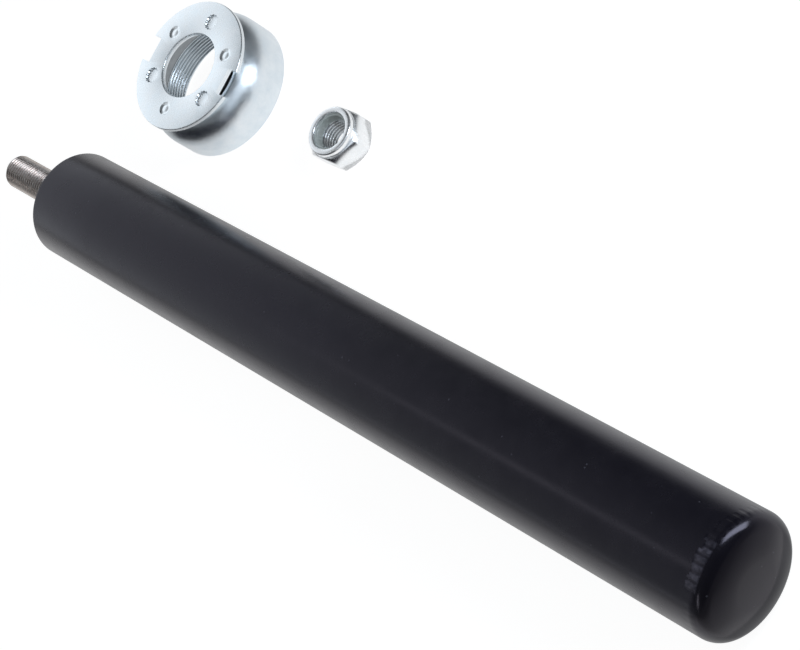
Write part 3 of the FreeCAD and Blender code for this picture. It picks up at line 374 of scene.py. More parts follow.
finishes = {
    # Electroplated zinc, clear blue passivate: cool silver with a soft, slightly cloudy sheen.
    "blueZinc": {"colours": ("#e9f1f6", "#f5f9fc"), "roughness": (0.22, 0.32),
                 "cloud": 5.0, "grain": 0.35, "height": 0.006, "hollow": "#5d6468"},
    # The same plate straight from the bath: whiter and brighter, on the turned lock nut.
    "brightZinc": {"colours": ("#f4f7f9", "#fcfdfe"), "roughness": (0.22, 0.32),
                   "cloud": 4.0, "grain": 0.35, "height": 0.006, "hollow": "#6a6f72"},
    # The same plate over a drawn cup: the press has left faint upright streaks.
    "drawnZinc": {"colours": ("#dde7ee", "#eef4f8"), "roughness": (0.28, 0.38),
                  "cloud": 6.0, "grain": 0.5, "height": 0.008, "stretch": (1, 1, 0.12),
                  "ripple": (2.2, 0.06), "hollow": "#9aa3a9"},
    # Bare cold-rolled thread with a dry film of oil: bright crests, and roots brown and dark,
    # partly that film and partly painted shade.
    "rolledStud": {"colours": ("#bdb5af", "#d0ccc9"), "roughness": (0.2, 0.34),
                   "cloud": 2.5, "grain": 0.3, "height": 0.008, "hollow": "#6a4b3c"},
    # Zinc inside the nut's bore, where the bath hardly reached: greyer and dull, and darker as
    # painted shade inside the bore.
    "shadedBoreZinc": {"colours": ("#8f9498", "#a2a7ab"), "roughness": (0.4, 0.5),
                  "cloud": 3.0, "grain": 0.3, "height": 0.008},
    # Scale in the gap beside the weld, painted near black as the shade in that gap: it takes no
    # reflection.
    "gapShadeBlack": {"metallic": 0.0, "colours": ("#141416", "#1e1e21"), "roughness": (0.6, 0.75),
                  "cloud": 1.5, "grain": 0.2, "height": 0.02},
    # Hard chrome on a ground shaft: a near mirror with a hair-fine ground line round it.
    "hardChrome": {"colours": ("#cdd0d3", "#d6d9dc"), "roughness": (0.06, 0.12),
                   "cloud": 12.0, "grain": 0.4, "height": 0.0015, "stretch": (1, 0.05, 0.05)},
    # Nylon 6, moulded and pressed in: waxy grey that takes no sharp reflection.
    "greyNylon": {"metallic": 0.0, "colours": ("#b3bab6", "#c3c9c6"), "roughness": (0.42, 0.52),
                  "cloud": 3.0, "grain": 0.4, "height": 0.01},
    # Nitrile rubber from a blasted mould: dull charcoal.
    "nitrileRubber": {"metallic": 0.0, "colours": ("#17181a", "#202124"), "roughness": (0.55, 0.7),
                      "cloud": 4.0, "grain": 0.25, "height": 0.012},
    # Cold-drawn seamless steel, honed inside: grey with fine lines along the draw.
    "drawnSteel": {"colours": ("#9fa2a4", "#b0b3b5"), "roughness": (0.2, 0.32),
                   "cloud": 15.0, "grain": 0.3, "height": 0.004, "stretch": (0.05, 1, 1)},
    # Machined mild steel, lightly oiled: mid grey with soft tool lines.
    "plainSteel": {"colours": ("#93969a", "#a6a9ac"), "roughness": (0.28, 0.4),
                   "cloud": 6.0, "grain": 0.25, "height": 0.005},
    # Hardened strip, blued by tempering: dark slate with a tight sheen.
    "springSteel": {"colours": ("#555a61", "#666b73"), "roughness": (0.22, 0.32),
                    "cloud": 3.0, "grain": 0.2, "height": 0.003},
    # Steam-treated sintered iron: dark, matt and finely pitted.
    "sinteredIron": {"colours": ("#5d5c5a", "#6f6d6a"), "roughness": (0.5, 0.65),
                     "cloud": 2.0, "grain": 0.15, "height": 0.02},
    # Leaded bronze strip, bored to size: warm yellow brown.
    "bushBronze": {"colours": ("#a8834f", "#bb965f"), "roughness": (0.25, 0.38),
                   "cloud": 4.0, "grain": 0.3, "height": 0.004},
    # Bronze-filled PTFE band: olive brown and waxy.
    "filledPtfe": {"metallic": 0.0, "colours": ("#5a5340", "#6a624c"), "roughness": (0.38, 0.48),
                   "cloud": 3.0, "grain": 0.2, "height": 0.004},
}
materials.update({name: makeFinish(name, look) for name, look in finishes.items()})
print(len(materials), "materials made")


def paint(mesh, *names):
    mesh.materials.clear()
    for name in names:
        mesh.materials.append(materials[name])


# A body turned about its own Z, from (height, radius) in millimetres. An outline that starts
# and ends on the axis is solid; any other is closed into a ring. A third number, 6, makes
# that section a hexagon so wide across its flats, with a corner towards X.
def turnShape(name, outline, segments, sharpAngle=28):
    shape = bmesh.new()
    rings = []
    for point in outline:
        height, radius = point[0] * millimetre, point[1] * millimetre
        if radius == 0:
            rings.append([shape.verts.new((0, 0, height))])
            continue
        ring = []
        for step in range(segments):
            angle = math.tau * step / segments
            reach = radius
            if len(point) > 2:
                reach = radius / math.cos(angle % (math.pi / 3) - math.pi / 6)
            ring.append(shape.verts.new((
                reach * math.cos(angle), reach * math.sin(angle), height)))
        rings.append(ring)
    following = rings[1:]
    if len(rings[0]) > 1:
        following.append(rings[0])
    for lower, upper in zip(rings, following):
        for step in range(segments):
            after = (step + 1) % segments
            if len(lower) == 1:
                shape.faces.new((lower[0], upper[step], upper[after]))
            elif len(upper) == 1:
                shape.faces.new((lower[step], upper[0], lower[after]))
            else:
                shape.faces.new((lower[step], upper[step], upper[after], lower[after]))
    bmesh.ops.recalc_face_normals(shape, faces=shape.faces)
    return finishShape(name, shape, sharpAngle)


def finishShape(name, shape, sharpAngle=28):
    mesh = bpy.data.meshes.new(name)
    shape.to_mesh(mesh)
    shape.free()
    mesh.shade_smooth()
    mesh.set_sharp_from_angle(angle=math.radians(sharpAngle))
    return newObject(name, mesh)


# Points of an arc about (height, radius); angles in degrees from the way the radius grows.
def arcPoints(centre, radius, start, end, steps):
    points = []
    for step in range(steps + 1):
        angle = math.radians(start + (end - start) * step / steps)
        points.append((centre[0] + radius * math.sin(angle), centre[1] + radius * math.cos(angle)))
    return points


# Evenly spaced points along a straight run at one radius.
def runPoints(start, end, radius, step):
    count = max(1, round(abs(end - start) / step))
    return [(start + (end - start) * index / count, radius) for index in range(count + 1)]


# Replaces a piece's mesh by what its modifier makes of it.
def bakeModifier(piece, modifier):
    graph = bpy.context.evaluated_depsgraph_get()
    mesh = bpy.data.meshes.new_from_object(
        piece.evaluated_get(graph), preserve_all_data_layers=True, depsgraph=graph)
    piece.modifiers.remove(modifier)
    former = piece.data
    piece.data = mesh
    bpy.data.meshes.remove(former)


def applyTree(piece, tree, finish, numbers):
    modifier = piece.modifiers.new(tree.name, "NODES")
    modifier.node_group = tree
    values = {**numbers, "Material": materials[finish]}
    for item in tree.interface.items_tree:
        if item.item_type == "SOCKET" and item.name in values:
            modifier[item.identifier] = values[item.name]
    bakeModifier(piece, modifier)


def cutShape(piece, cutter, operation="DIFFERENCE"):
    modifier = piece.modifiers.new("cut", "BOOLEAN")
    modifier.operation = operation
    modifier.solver = "EXACT"
    modifier.object = cutter
    bakeModifier(piece, modifier)
    bpy.data.meshes.remove(cutter.data)


def startTree(name, numbers):
    tree = bpy.data.node_groups.new(name, "GeometryNodeTree")
    kinds = {"Geometry": "Geometry", **dict.fromkeys(numbers, "Float"), "Material": "Material"}
    for label, kind in kinds.items():
        tree.interface.new_socket(label, in_out="INPUT", socket_type="NodeSocket" + kind)
    tree.interface.new_socket("Geometry", in_out="OUTPUT", socket_type="NodeSocketGeometry")
    return tree, tree.nodes.new("NodeGroupInput").outputs


# Ends a tree: the geometry is realized and gets its material.
def endTree(tree, geometry, material):
    realized = addNode(tree, "GeometryNodeRealizeInstances", {"Geometry": geometry})
    painted = addNode(tree, "GeometryNodeSetMaterial", {
        "Geometry": realized, "Material": material})
    addNode(tree, "NodeGroupOutput", {0: painted})


# Each point's height along the axis, distance from it, way out from it, and angle round it.
def polarPlace(tree):
    place = addNode(tree, "SeparateXYZ", {
        0: addNode(tree, "GeometryNodeInputPosition", {})}).outputs
    outward = addNode(tree, "CombineXYZ", {0: place["X"], 1: place["Y"]})
    reach = addNode(tree, "VectorMath", {0: outward}, operation="LENGTH")
    way = addNode(tree, "VectorMath", {0: outward}, operation="NORMALIZE")
    angle = addNode(tree, "Math", {0: place["Y"], 1: place["X"]}, operation="ARCTAN2")
    return place["Z"], reach, way, angle


# Notes a value on the surface and moves it out by push, times each factor.
def endWithPush(tree, given, way, push, factors, note, value=None):
    for factor in factors:
        push = addNode(tree, "Math", {0: push, 1: factor}, operation="MULTIPLY")
    if value is None:
        value = addNode(tree, "Math", {0: push, 1: given["Depth"]}, operation="DIVIDE")
    offset = addNode(tree, "VectorMath", {0: way, "Scale": push}, operation="SCALE")
    noted = addNode(tree, "GeometryNodeStoreNamedAttribute", {
        "Geometry": given["Geometry"], "Name": note, "Value": value})
    moved = addNode(tree, "GeometryNodeSetPosition", {"Geometry": noted, "Offset": offset})
    endTree(tree, moved, given["Material"])
    return tree


# A thread's form, as shares of its pitch: half a crest, and where the root begins. Only
# points this near to its surface, in metres, are moved.
threadForm = {"crest": 0.06, "root": 0.43, "near": 0.00015}


# Rolls a helical V thread into whatever lies at one radius from Z. A positive depth cuts
# away from the axis, as in a nut, and a negative one towards it, as on a stud.
def makeThreadTree():
    tree, given = startTree("threadRoller", [
        "Pitch", "Depth", "Surface", "Start", "End", "Fade"])
    height, reach, way, angle = polarPlace(tree)
    share = addNode(tree, "Math", {0: angle, 1: math.tau}, operation="DIVIDE")
    turns = addNode(tree, "Math", {0: height, 1: given["Pitch"]}, operation="DIVIDE")
    helix = addNode(tree, "Math", {0: turns, 1: share}, operation="SUBTRACT")
    part = addNode(tree, "Math", {0: helix}, operation="FRACT")
    fold = addNode(tree, "Math", {0: part, 1: 0.5}, operation="PINGPONG")
    flank = addNode(tree, "MapRange", {0: fold, 1: threadForm["crest"], 2: threadForm["root"]})
    near = addNode(tree, "Math", {
        0: reach, 1: given["Surface"], 2: threadForm["near"]}, operation="COMPARE")
    inner = addNode(tree, "Math", {0: given["Start"], 1: given["Fade"]}, operation="ADD")
    outer = addNode(tree, "Math", {0: given["End"], 1: given["Fade"]}, operation="SUBTRACT")
    entry = addNode(tree, "MapRange", {0: height, 1: given["Start"], 2: inner})
    runout = addNode(tree, "MapRange", {0: height, 1: outer, 2: given["End"], 3: 1.0, 4: 0.0})
    # The hollow note runs from 0 on a crest to 1 in a root; the finishes darken it as painted
    # shade.
    return endWithPush(tree, given, way, given["Depth"], (flank, near, entry, runout), "hollow")


threadTree = makeThreadTree()


def rollThread(piece, finish, thread):
    applyTree(piece, threadTree, finish, {
        label: length * millimetre for label, length in thread.items()})


# Puts a piece that was made about Z where it belongs: along X for the cartridge, or on the
# ground for a nut.
alongX = Matrix(((0, 0, 1, crown * millimetre), (1, 0, 0, 0), (0, 1, 0, 0), (0, 0, 0, 1)))


def onGround(across, along, turn):
    place = Vector((across + crown, along, ground["height"])) * millimetre
    return Matrix.Translation(place) @ Matrix.Rotation(math.radians(turn), 4, "Z")


def handOver(piece, placement, body, nodes):
    piece.data.transform(placement)
    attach(piece, body)
    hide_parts(*nodes)
    print(piece.name, len(piece.data.polygons), "faces")


# The outer tube. Both ends are rolled in; the end at the cap carries a band of short roller
# marks, pressed in after painting began to dry, so that they are uneven. Uppermost, the lands
# between them are pale, partly rubbed wear and partly a painted highlight on the side that
# catches the light; below that side the marks are faint.
tube = {
    "radius": 22.0, "bore": 20.5, "start": 3.8, "end": 363.6, "shoulder": 6.0,
    "farRound": 1.2, "lipRadius": 17.6, "lipWidth": 1.5, "lipEdge": 0.3, "segments": 672,
    "markEnd": 8.8, "markDepth": 0.14,
}

# A place across a mark is a share of its cell, from 0 between two marks to 0.5 in the middle
# of one. Angles are in degrees round the tube, and lengths in metres.
marks = {
    "count": 48, "turn": 0.2, "end": 0.0008, "outside": 0.0209, "paleFrom": 62,
    # How the marks differ, at random between two values, with a seed.
    "strength": (0.45, 1.0, 11), "longer": (-0.0009, 0.0005, 18), "paleness": (0.4, 1.0, 11),
    # What a fade follows, where it starts and ends, and its two values.
    "fades": {
        "groove": ("fold", 0.16, 0.42, 0.0, 1.0, "SMOOTHSTEP"),
        "land": ("fold", 0.24, 0.42, 1.0, 0.25, "SMOOTHSTEP"),
        "press": ("angle", 52, 62, 0.12, 1.0, "LINEAR"),
        "away": ("angle", 112, 150, 1.0, 0.3, "LINEAR"),
        "fading": ("angle", 91.9465, 112, 1.0, 0.0, "SMOOTHSTEP"),
    },
}


def makeMarkTree():
    tree, given = startTree("rollerMarks", ["Depth", "Start", "End"])
    height, reach, way, angle = polarPlace(tree)
    share = addNode(tree, "Math", {0: angle, 1: math.tau}, operation="DIVIDE")
    cells = addNode(tree, "Math", {
        0: share, 1: float(marks["count"]), 2: marks["turn"]}, operation="MULTIPLY_ADD")
    across = addNode(tree, "Math", {0: cells}, operation="FRACT")
    places = {
        "fold": addNode(tree, "Math", {0: across, 1: 0.5}, operation="PINGPONG"),
        "angle": addNode(tree, "Math", {0: share, 1: 360.0}, operation="MULTIPLY")}
    levels = {}
    for name, (place, start, end, low, high, curve) in marks["fades"].items():
        levels[name] = addNode(tree, "MapRange", {
            0: places[place], 1: start, 2: end, 3: low, 4: high}, interpolation_type=curve)

    cell = addNode(tree, "Math", {0: cells}, operation="FLOOR")
    nextCell = addNode(tree, "Math", {0: cells, 1: 0.5}, operation="ADD")
    nextCell = addNode(tree, "Math", {0: nextCell}, operation="FLOOR")
    for name, number in (("strength", cell), ("longer", cell), ("paleness", nextCell)):
        low, high, seed = marks[name]
        levels[name] = addNode(tree, "FunctionNodeRandomValue", {
            2: low, 3: high, "ID": number, "Seed": seed}, data_type="FLOAT")

    firstEnd = addNode(tree, "Math", {0: given["Start"], 1: marks["end"]}, operation="ADD")
    last = addNode(tree, "Math", {0: given["End"], 1: levels["longer"]}, operation="ADD")
    lastStart = addNode(tree, "Math", {0: last, 1: marks["end"]}, operation="SUBTRACT")
    band = addNode(tree, "Math", {0: reach, 1: marks["outside"]}, operation="GREATER_THAN")
    for start, end, low, high in ((given["Start"], firstEnd, 0.0, 1.0),
                                  (lastStart, last, 1.0, 0.0)):
        edge = addNode(tree, "MapRange", {
            0: height, 1: start, 2: end, 3: low, 4: high}, interpolation_type="SMOOTHSTEP")
        band = addNode(tree, "Math", {0: band, 1: edge}, operation="MULTIPLY")

    # The lands are painted pale only from this angle on, on the side that catches the light:
    # painted highlight as well as wear.
    begin = addNode(tree, "Math", {
        0: places["angle"], 1: marks["paleFrom"]}, operation="GREATER_THAN")
    wornAndLit = levels["paleness"]
    for factor in (levels["land"], band, begin, levels["fading"]):
        wornAndLit = addNode(tree, "Math", {0: wornAndLit, 1: factor}, operation="MULTIPLY")
    inward = addNode(tree, "Math", {0: given["Depth"], 1: -1.0}, operation="MULTIPLY")
    return endWithPush(tree, given, way, inward, (
        levels["strength"], levels["groove"], band, levels["press"], levels["away"]),
        "wornAndLit", wornAndLit)


def makeTube():
    shoulderCentre = (tube["shoulder"], tube["radius"] - tube["shoulder"])
    outline = []
    for height, radius in runPoints(tube["start"], tube["markEnd"] + 1.0, tube["radius"], 0.2):
        fall = max(0.0, tube["shoulder"] - height)
        outline.append((height, shoulderCentre[1] + math.sqrt(tube["shoulder"] ** 2 - fall ** 2)))
    farStart = tube["end"] - tube["farRound"]
    outline += runPoints(tube["markEnd"] + 12.0, farStart, tube["radius"], 40.0)
    outline += arcPoints(
        (farStart, tube["radius"] - tube["farRound"]), tube["farRound"], 0, 90, 8)[1:]
    lipStart = tube["end"] - tube["lipWidth"]
    outline += [(tube["end"], tube["lipRadius"] + tube["lipEdge"]),
                (tube["end"] - tube["lipEdge"], tube["lipRadius"]),
                (lipStart, tube["lipRadius"]), (lipStart, tube["bore"]),
                (tube["start"], tube["bore"])]
    piece = turnShape("outerTube", outline, tube["segments"], 35)
    applyTree(piece, makeMarkTree(), "stovingEnamel", {
        "Depth": tube["markDepth"] * millimetre, "Start": tube["start"] * millimetre,
        "End": tube["markEnd"] * millimetre})
    handOver(piece, alongX, "cartridge", ["reserve_tube"])


# The pressed cap: a small flat seat, a slightly crowned face and an edge that carries on the
# tube's shoulder.
cap = {
    "seat": 8.0, "crownRadius": 31.0, "crownSlope": 18.663, "face": 16.0, "joint": 3.8,
    "jointRadius": 21.582, "skirtRadius": 20.48, "skirtEnd": 12.5, "wall": 1.9, "floor": 2.5,
    "innerRound": 2.0,
}


def makeCap():
    centre = (tube["shoulder"], cap["face"])
    jointAngle = math.degrees(math.acos((cap["jointRadius"] - cap["face"]) / tube["shoulder"]))
    outline = [(-crown, 0.0), (-crown, 4.0)]
    outline += arcPoints((cap["crownRadius"] - crown, cap["seat"]), cap["crownRadius"],
                         -90, cap["crownSlope"] - 90, 14)
    outline += arcPoints(centre, tube["shoulder"], cap["crownSlope"] - 90, -jointAngle, 20)[1:]
    inner = cap["skirtRadius"] - cap["wall"]
    outline += [(cap["joint"], cap["skirtRadius"]), (cap["skirtEnd"], cap["skirtRadius"]),
                (cap["skirtEnd"], inner)]
    outline += arcPoints((cap["floor"] + cap["innerRound"], inner - cap["innerRound"]),
                         cap["innerRound"], 0, -90, 6)
    outline += [(cap["floor"], 0.0)]
    piece = turnShape("endCap", outline, 360, 35)
    paint(piece.data, "capEnamel")
    handOver(piece, alongX, "cartridge", ["base_cap"])


# The rod: chromed shaft inside, and the bare threaded stud with a hexagon socket outside.
rod = {
    "start": 29.6, "spigotRadius": 6.0, "spigotEdge": 0.6, "shaftStart": 62.0, "radius": 10.0,
    "shaftEdge": 0.4, "grooveStart": 147.0, "grooveEnd": 149.0, "grooveRadius": 9.0,
    "shaftEnd": 369.6, "shoulderEdge": 1.0, "reliefEnd": 372.1, "reliefRound": 0.3,
    "reliefRadius": 6.0, "threadStart": 373.1, "studRadius": 7.0, "tipLength": 1.8,
    "end": 409.6, "tipRadius": 5.2, "socketMouth": 4.35, "socketEdge": 0.5, "socketFlats": 7.0,
    "socketStart": 401.6, "pitch": 1.5, "threadDepth": -0.86,
}


def makeRod():
    start, shaft, shaftEnd, end = (rod[name] for name in (
        "start", "shaftStart", "shaftEnd", "end"))
    radius, spigot, relief, groove = (rod[name] for name in (
        "radius", "spigotRadius", "reliefRadius", "grooveRadius"))
    hexagon = rod["socketFlats"] / 2
    outline = [(start, 0.0), (start, spigot - rod["spigotEdge"]),
               (start + rod["spigotEdge"], spigot), (shaft, spigot),
               (shaft, radius - rod["shaftEdge"]), (shaft + rod["shaftEdge"], radius),
               (rod["grooveStart"], radius), (rod["grooveStart"], groove),
               (rod["grooveEnd"], groove), (rod["grooveEnd"], radius),
               (shaftEnd - rod["shoulderEdge"], radius),
               (shaftEnd, radius - rod["shoulderEdge"]),
               (shaftEnd, relief + rod["reliefRound"]),
               (shaftEnd + rod["reliefRound"], relief), (rod["reliefEnd"], relief)]
    outline += runPoints(rod["threadStart"], end - rod["tipLength"], rod["studRadius"], 0.15)
    outline += [(end, rod["tipRadius"]), (end, rod["socketMouth"]),
                (end - rod["socketEdge"], hexagon, 6), (rod["socketStart"], hexagon, 6),
                (rod["socketStart"], 0.0)]
    piece = turnShape("pistonRod", outline, 96, 35)
    rollThread(piece, "hardChrome", {
        "Pitch": rod["pitch"], "Depth": rod["threadDepth"], "Surface": rod["studRadius"],
        "Start": rod["threadStart"] - 0.6, "End": end, "Fade": 1.2})
    paint(piece.data, "hardChrome", "rolledStud")
    shoulder = (shaftEnd - 0.5) * millimetre
    for face in piece.data.polygons:
        face.material_index = int(face.center.z > shoulder)
    handOver(piece, alongX, "rod", ["piston_rod"])


# The rod seal at the far end: a steel disc with an oil lip inside and a dust lip outside.
seal = {
    "discStart": 360.3, "discEnd": 362.1, "discRadius": 20.45, "discBore": 13.0,
    "toe": 352.0, "toeSlope": 0.7, "neck": 12.9, "grooveStart": 353.1, "grooveEnd": 355.1,
    "groove": 12.1, "flangeStart": 357.1, "flange": 17.0, "dustEnd": 363.7,
    "outerRound": 0.35, "outerReach": 1.15, "innerRound": 0.3, "lip": 10.05, "bore": 11.0,
    "dustLip": (362.7, 361.5), "oilLip": (354.9, 353.7, 352.7),
}


def makeSeal():
    start, end = seal["discStart"], seal["discEnd"]
    disc = turnShape("sealDisc", [
        (start, seal["discBore"]), (start, seal["discRadius"]), (end, seal["discRadius"]),
        (end, seal["discBore"])], 180)
    paint(disc.data, "plainSteel")
    handOver(disc, alongX, "cartridge", ["seal_disc"])
    toe, dust, neck, lip, bore = (seal[name] for name in ("toe", "dustEnd", "neck", "lip", "bore"))
    outer, inner = seal["outerRound"], seal["innerRound"]
    outline = [(toe, lip + seal["toeSlope"]), (toe, neck), (seal["grooveStart"], neck),
               (seal["grooveStart"], seal["groove"]), (seal["grooveEnd"], seal["groove"]),
               (seal["grooveEnd"], neck), (seal["flangeStart"], neck),
               (seal["flangeStart"], seal["flange"]), (start, seal["flange"]), (start, neck),
               (end, neck)]
    outline += arcPoints((dust - outer, lip + seal["outerReach"]), outer, 40, 90, 4)
    outline += arcPoints((dust - inner, lip + inner), inner, 90, 180, 4)
    outline += list(zip(seal["dustLip"] + seal["oilLip"], (lip, bore, bore, lip, lip)))
    rubber = turnShape("rodSeal", outline, 180)
    paint(rubber.data, "nitrileRubber")
    handOver(rubber, alongX, "cartridge", ["oil_seal"])


# The collar nut: a drawn and threaded cup with a notched plate welded on top.
collarNut = {
    "place": (339.6, -70.35), "height": 25.6, "thread": 23.2, "body": 29.1, "bore": 22.4,
    "undercut": 23.4, "undercutStart": 12.2, "undercutEnd": 15.2, "webStart": 19.1,
    "shoulderStart": 10.48, "shoulderTop": 21.1, "shoulderRound": 13.0, "neck": 22.4,
    "webHole": 17.2, "plateStart": 23.6, "plate": 27.9, "hole": 13.85, "edge": 0.4,
    "notchWidth": 10.8, "notchFloor": 22.6, "markCircle": 19.6, "markCount": 3,
    "pitch": 1.5, "reliefFloor": 19.2, "reliefLow": 21.7, "threadDepth": 0.45, "footRound": 0.6,
    "lead": 1.2, "webSlope": 2.0,
}


# A box between two places along X, as wide as a notch, to cut with.
def notchBox(near, far, low, high):
    box = bmesh.new()
    bmesh.ops.create_cube(box, size=1.0)
    span = Vector((abs(far - near), collarNut["notchWidth"], high - low))
    middle = Vector(((near + far) / 2, 0, (low + high) / 2))
    bmesh.ops.scale(box, vec=span * millimetre, verts=box.verts)
    bmesh.ops.translate(box, vec=middle * millimetre, verts=box.verts)
    return finishShape("notchCutter", box)


def makeCollarShell():
    nut = collarNut
    centre = (nut["shoulderStart"], nut["body"] - nut["shoulderRound"])
    topAngle = math.degrees(math.asin((nut["shoulderTop"] - centre[0]) / nut["shoulderRound"]))
    foot, slope, slack = nut["footRound"], nut["webSlope"], 0.05
    outline = [(0.0, nut["thread"] + nut["lead"])]
    outline += arcPoints((foot, nut["body"] - foot), foot, -90, 0, 5)
    outline += arcPoints(centre, nut["shoulderRound"], 0, topAngle, 24)
    outline += [(nut["shoulderTop"], nut["neck"] + 0.3), (nut["shoulderTop"] + 0.3, nut["neck"]),
                (nut["plateStart"], nut["neck"]), (nut["plateStart"], nut["webHole"]),
                (nut["plateStart"] - slope, nut["webHole"]),
                (nut["webStart"], nut["webHole"] + slope),
                (nut["webStart"], nut["bore"]), (nut["undercutEnd"], nut["bore"]),
                (nut["undercutEnd"], nut["undercut"]), (nut["undercutStart"], nut["undercut"])]
    outline += runPoints(nut["undercutStart"], nut["lead"], nut["thread"], 0.14)
    piece = turnShape("collarShell", outline, 240, 35)
    rollThread(piece, "drawnZinc", {
        "Pitch": nut["pitch"], "Depth": nut["threadDepth"], "Surface": nut["thread"],
        "Start": 0.4, "End": nut["undercutStart"] + 0.7, "Fade": 0.8})
    for way in (-1, 1):
        cutShape(piece, notchBox(nut["reliefFloor"] * way, 26.0 * way, nut["reliefLow"], 30.0))
    paint(piece.data, "drawnZinc", "shadedBoreZinc", "gapShadeBlack")
    # Web and undercut faces get the bore's darker zinc, painted shade; faces in the notch relief
    # get near black, painted shade.
    for face in piece.data.polygons:
        place = face.center / millimetre
        reach = math.hypot(place.x, place.y)
        inRelief = (abs(place.x) > nut["reliefFloor"] - slack
                    and reach < nut["neck"] + 2 * slack
                    and abs(place.y) < nut["notchWidth"] / 2 + slack
                    and nut["reliefLow"] - slack < place.z < nut["plateStart"] - slack)
        onWeb = (reach < nut["webHole"] + slope + 2 * slack
                 and place.z > nut["webStart"] - slack) or (
            reach < nut["undercut"] + slack
            and nut["undercutStart"] - slack < place.z < nut["webStart"] + slack)
        face.material_index = 2 if inRelief else int(onWeb)
    piece.data.set_sharp_from_angle(angle=math.radians(35))
    handOver(piece, onGround(*nut["place"], 0), "collar_nut", ["collar_nut_shell"])


# Copies a cutter round a circle.
def makeRingTree():
    tree, given = startTree("ringOfCutters", ["Turn"])
    circle = addNode(tree, "GeometryNodeMeshCircle", {
        "Vertices": collarNut["markCount"], "Radius": collarNut["markCircle"] * millimetre})
    copies = addNode(tree, "GeometryNodeInstanceOnPoints", {
        "Points": circle, "Instance": given["Geometry"]})
    spin = addNode(tree, "CombineXYZ", {2: given["Turn"]})
    turned = addNode(tree, "GeometryNodeTransform", {"Geometry": copies, "Rotation": spin})
    endTree(tree, turned, given["Material"])
    return tree


def makeCollarPlate():
    nut = collarNut
    low, high, edge = nut["plateStart"], nut["height"], nut["edge"]
    outline = [(low, nut["hole"]), (low, nut["plate"] - 0.2), (low + 0.2, nut["plate"])]
    outline += arcPoints((high - edge, nut["plate"] - edge), edge, 0, 90, 6)
    outline += arcPoints((high - edge, nut["hole"] + edge), edge, 90, 180, 6)
    piece = turnShape("collarPlate", outline, 288)
    for way in (-1, 1):
        cutShape(piece, notchBox(nut["notchFloor"] * way, 33.0 * way, low - 2.0, high + 2.0))
    ringTree = makeRingTree()
    pressedMarks = [
        # Three deep weld marks with a flat floor and a torn, toothed rim.
        {"turn": 30, "teeth": 13, "bite": 0.05, "outline": [
            (high + 1, 0), (high + 1, 3.3), (high + 0.01, 3.3), (high - 0.12, 3.15),
            (high - 0.82, 2.85), (high - 0.9, 2.7), (high - 0.9, 0)]},
        # Three round ones: a groove round a low boss.
        {"turn": 90, "teeth": 0, "bite": 0.0, "outline": [
            (high + 1, 0), (high + 1, 2.9), (high, 2.85), (high - 0.16, 2.6), (high - 0.34, 2.3),
            (high - 0.46, 1.9), (high - 0.48, 1.5), (high - 0.42, 1.1), (high - 0.34, 0.7),
            (high - 0.32, 0.4), (high - 0.32, 0)]},
    ]
    for mark in pressedMarks:
        cutter = turnShape("markCutter", mark["outline"], 104)
        for vertex in cutter.data.vertices:
            angle = math.atan2(vertex.co.y, vertex.co.x)
            swell = 1 + mark["bite"] * math.sin(angle * mark["teeth"])
            vertex.co.x *= swell
            vertex.co.y *= swell
        applyTree(cutter, ringTree, "blueZinc", {"Turn": math.radians(mark["turn"])})
        cutShape(piece, cutter)
    paint(piece.data, "blueZinc", "shadedBoreZinc")
    # The hole's wall gets the bore's darker zinc: painted shade inside the hole.
    for face in piece.data.polygons:
        place = face.center / millimetre
        inHole = math.hypot(place.x, place.y) < nut["hole"] + 0.02 and place.z < low + 0.02
        face.material_index = int(inHole)
    piece.data.shade_smooth()
    piece.data.set_sharp_from_angle(angle=math.radians(28))
    handOver(piece, onGround(*nut["place"], 0), "collar_nut", ["collar_nut_plate"])


# The self-locking nut and its nylon ring.
lockNut = {
    "place": (263.1, -71.3), "turn": 2.4, "flats": 21.0, "hexHeight": 10.6, "height": 13.5,
    "face": 10.35, "collar": 10.15, "thread": 6.2, "lipHole": 7.65, "pocket": 8.7,
    "pocketStart": 8.9, "pocketEnd": 12.3, "insertBore": 6.65, "chamferSlope": 0.72,
    "neck": 9.75, "pitch": 1.5, "threadDepth": 0.8, "insertGap": 0.02,
}


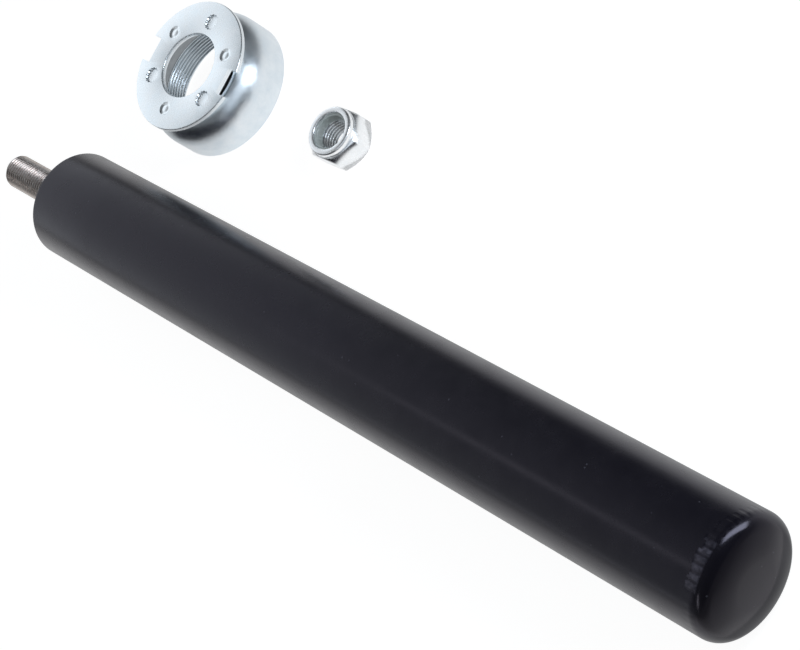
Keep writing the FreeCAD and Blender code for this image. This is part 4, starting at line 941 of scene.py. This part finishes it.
def makeLockNut():
    nut = lockNut
    cornerRadius = nut["flats"] / 2 / math.cos(math.radians(30))
    drop = (cornerRadius - nut["face"]) * nut["chamferSlope"]
    hexTop, top, neck = nut["hexHeight"], nut["height"], nut["neck"]
    outline = [(0.0, nut["thread"] + 0.4), (0.0, nut["face"]), (drop, cornerRadius),
               (hexTop - drop, cornerRadius), (hexTop, nut["face"]),
               (hexTop, neck + 0.15), (hexTop + 0.15, neck), (hexTop + 0.4, neck + 0.05),
               (hexTop + 0.7, nut["collar"])]
    outline += arcPoints((top - 1.0, nut["collar"] - 1.0), 1.0, 0, 90, 8)
    outline += arcPoints((top - 0.5, nut["lipHole"] + 0.5), 0.5, 90, 180, 6)
    outline += [(nut["pocketEnd"], nut["lipHole"]), (nut["pocketEnd"], nut["pocket"]),
                (nut["pocketStart"], nut["pocket"])]
    outline += runPoints(nut["pocketStart"], 0.4, nut["thread"], 0.12)
    piece = turnShape("lockNut", outline, 192, 24)
    rollThread(piece, "brightZinc", {
        "Pitch": nut["pitch"], "Depth": nut["threadDepth"], "Surface": nut["thread"],
        "Start": 0.3, "End": nut["pocketStart"] + 0.5, "Fade": 0.7})
    prism = turnShape("flatsCutter", [(-1.0, 0.0), (-1.0, nut["flats"] / 2, 6),
                                      (top + 1.0, nut["flats"] / 2, 6), (top + 1.0, 0.0)], 6)
    cutShape(piece, prism, "INTERSECT")
    paint(piece.data, "brightZinc")
    placement = onGround(*nut["place"], nut["turn"])
    handOver(piece, placement, "lock_nut", ["lock_nut_body"])

    start, end = nut["pocketStart"], nut["pocketEnd"]
    outside = nut["pocket"] - nut["insertGap"]
    outline = [(start, nut["insertBore"]), (start, outside), (end, outside)]
    outline += arcPoints((end - 0.5, nut["insertBore"] + 0.5), 0.5, 90, 180, 6)
    ring = turnShape("nylonRing", outline, 144)
    paint(ring.data, "greyNylon")
    handOver(ring, placement, "lock_nut", ["lock_nut_insert"])


# The three springs inside, each with its node, body, plate's joint, that plate's travel and
# the end that stays: each keeps its node's shape, merged and smoothed.
springs = [
    {"piece": "checkSpring", "node": "check_spring", "body": "rod",
     "joint": "check_plate_lift", "travel": 1.06, "fixedEnd": 60.8},
    {"piece": "reboundSpring", "node": "rebound_spring", "body": "rod",
     "joint": "rebound_valve_lift", "travel": 0.8, "fixedEnd": 34.0},
    {"piece": "intakeSpring", "node": "intake_spring", "body": "cartridge",
     "joint": "intake_plate_lift", "travel": 1.06, "fixedEnd": 20.2},
]


def makeSpring(spring):
    shape = bmesh.new()
    shape.from_mesh(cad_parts[spring["node"]].data)
    bmesh.ops.remove_doubles(shape, verts=shape.verts, dist=1e-6)
    piece = finishShape(spring["piece"], shape)
    paint(piece.data, "springSteel")
    handOver(piece, Matrix.Identity(4), spring["body"], [spring["node"]])
    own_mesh(piece)


makeTube()
makeCap()
makeRod()
makeSeal()
makeCollarShell()
makeCollarPlate()
makeLockNut()
for spring in springs:
    makeSpring(spring)


# The parts inside keep their own shapes and get their finishes.
nodeFinishes = {
    "drawnSteel": ["pressure_tube"],
    "plainSteel": ["base_valve_bolt", "base_valve_nut", "intake_spring_hub", "piston_nut",
                   "check_spring_hub", "seal_disc", "rebound_spring_seat"],
    "springSteel": ["compression_disc_1", "compression_disc_2", "compression_disc_3",
                    "intake_plate", "intake_spring", "rebound_spring", "rebound_disc_1",
                    "rebound_disc_2", "check_plate", "check_spring", "stop_ring", "garter_spring"],
    "sinteredIron": ["base_valve_body", "piston", "rod_guide"],
    "bushBronze": ["guide_bush"],
    "filledPtfe": ["piston_band"],
    "nitrileRubber": ["rebound_bumper", "guide_o_ring", "oil_seal"],
    "blueZinc": ["collar_nut_plate"],
    "drawnZinc": ["collar_nut_shell"],
    "brightZinc": ["lock_nut_body"],
    "greyNylon": ["lock_nut_insert"],
    "hardChrome": ["piston_rod"],
    "stovingEnamel": ["reserve_tube"],
    "capEnamel": ["base_cap"],
}
for finish, nodes in nodeFinishes.items():
    for node in nodes:
        paint(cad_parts[node].data, finish)
print("inner parts finished")
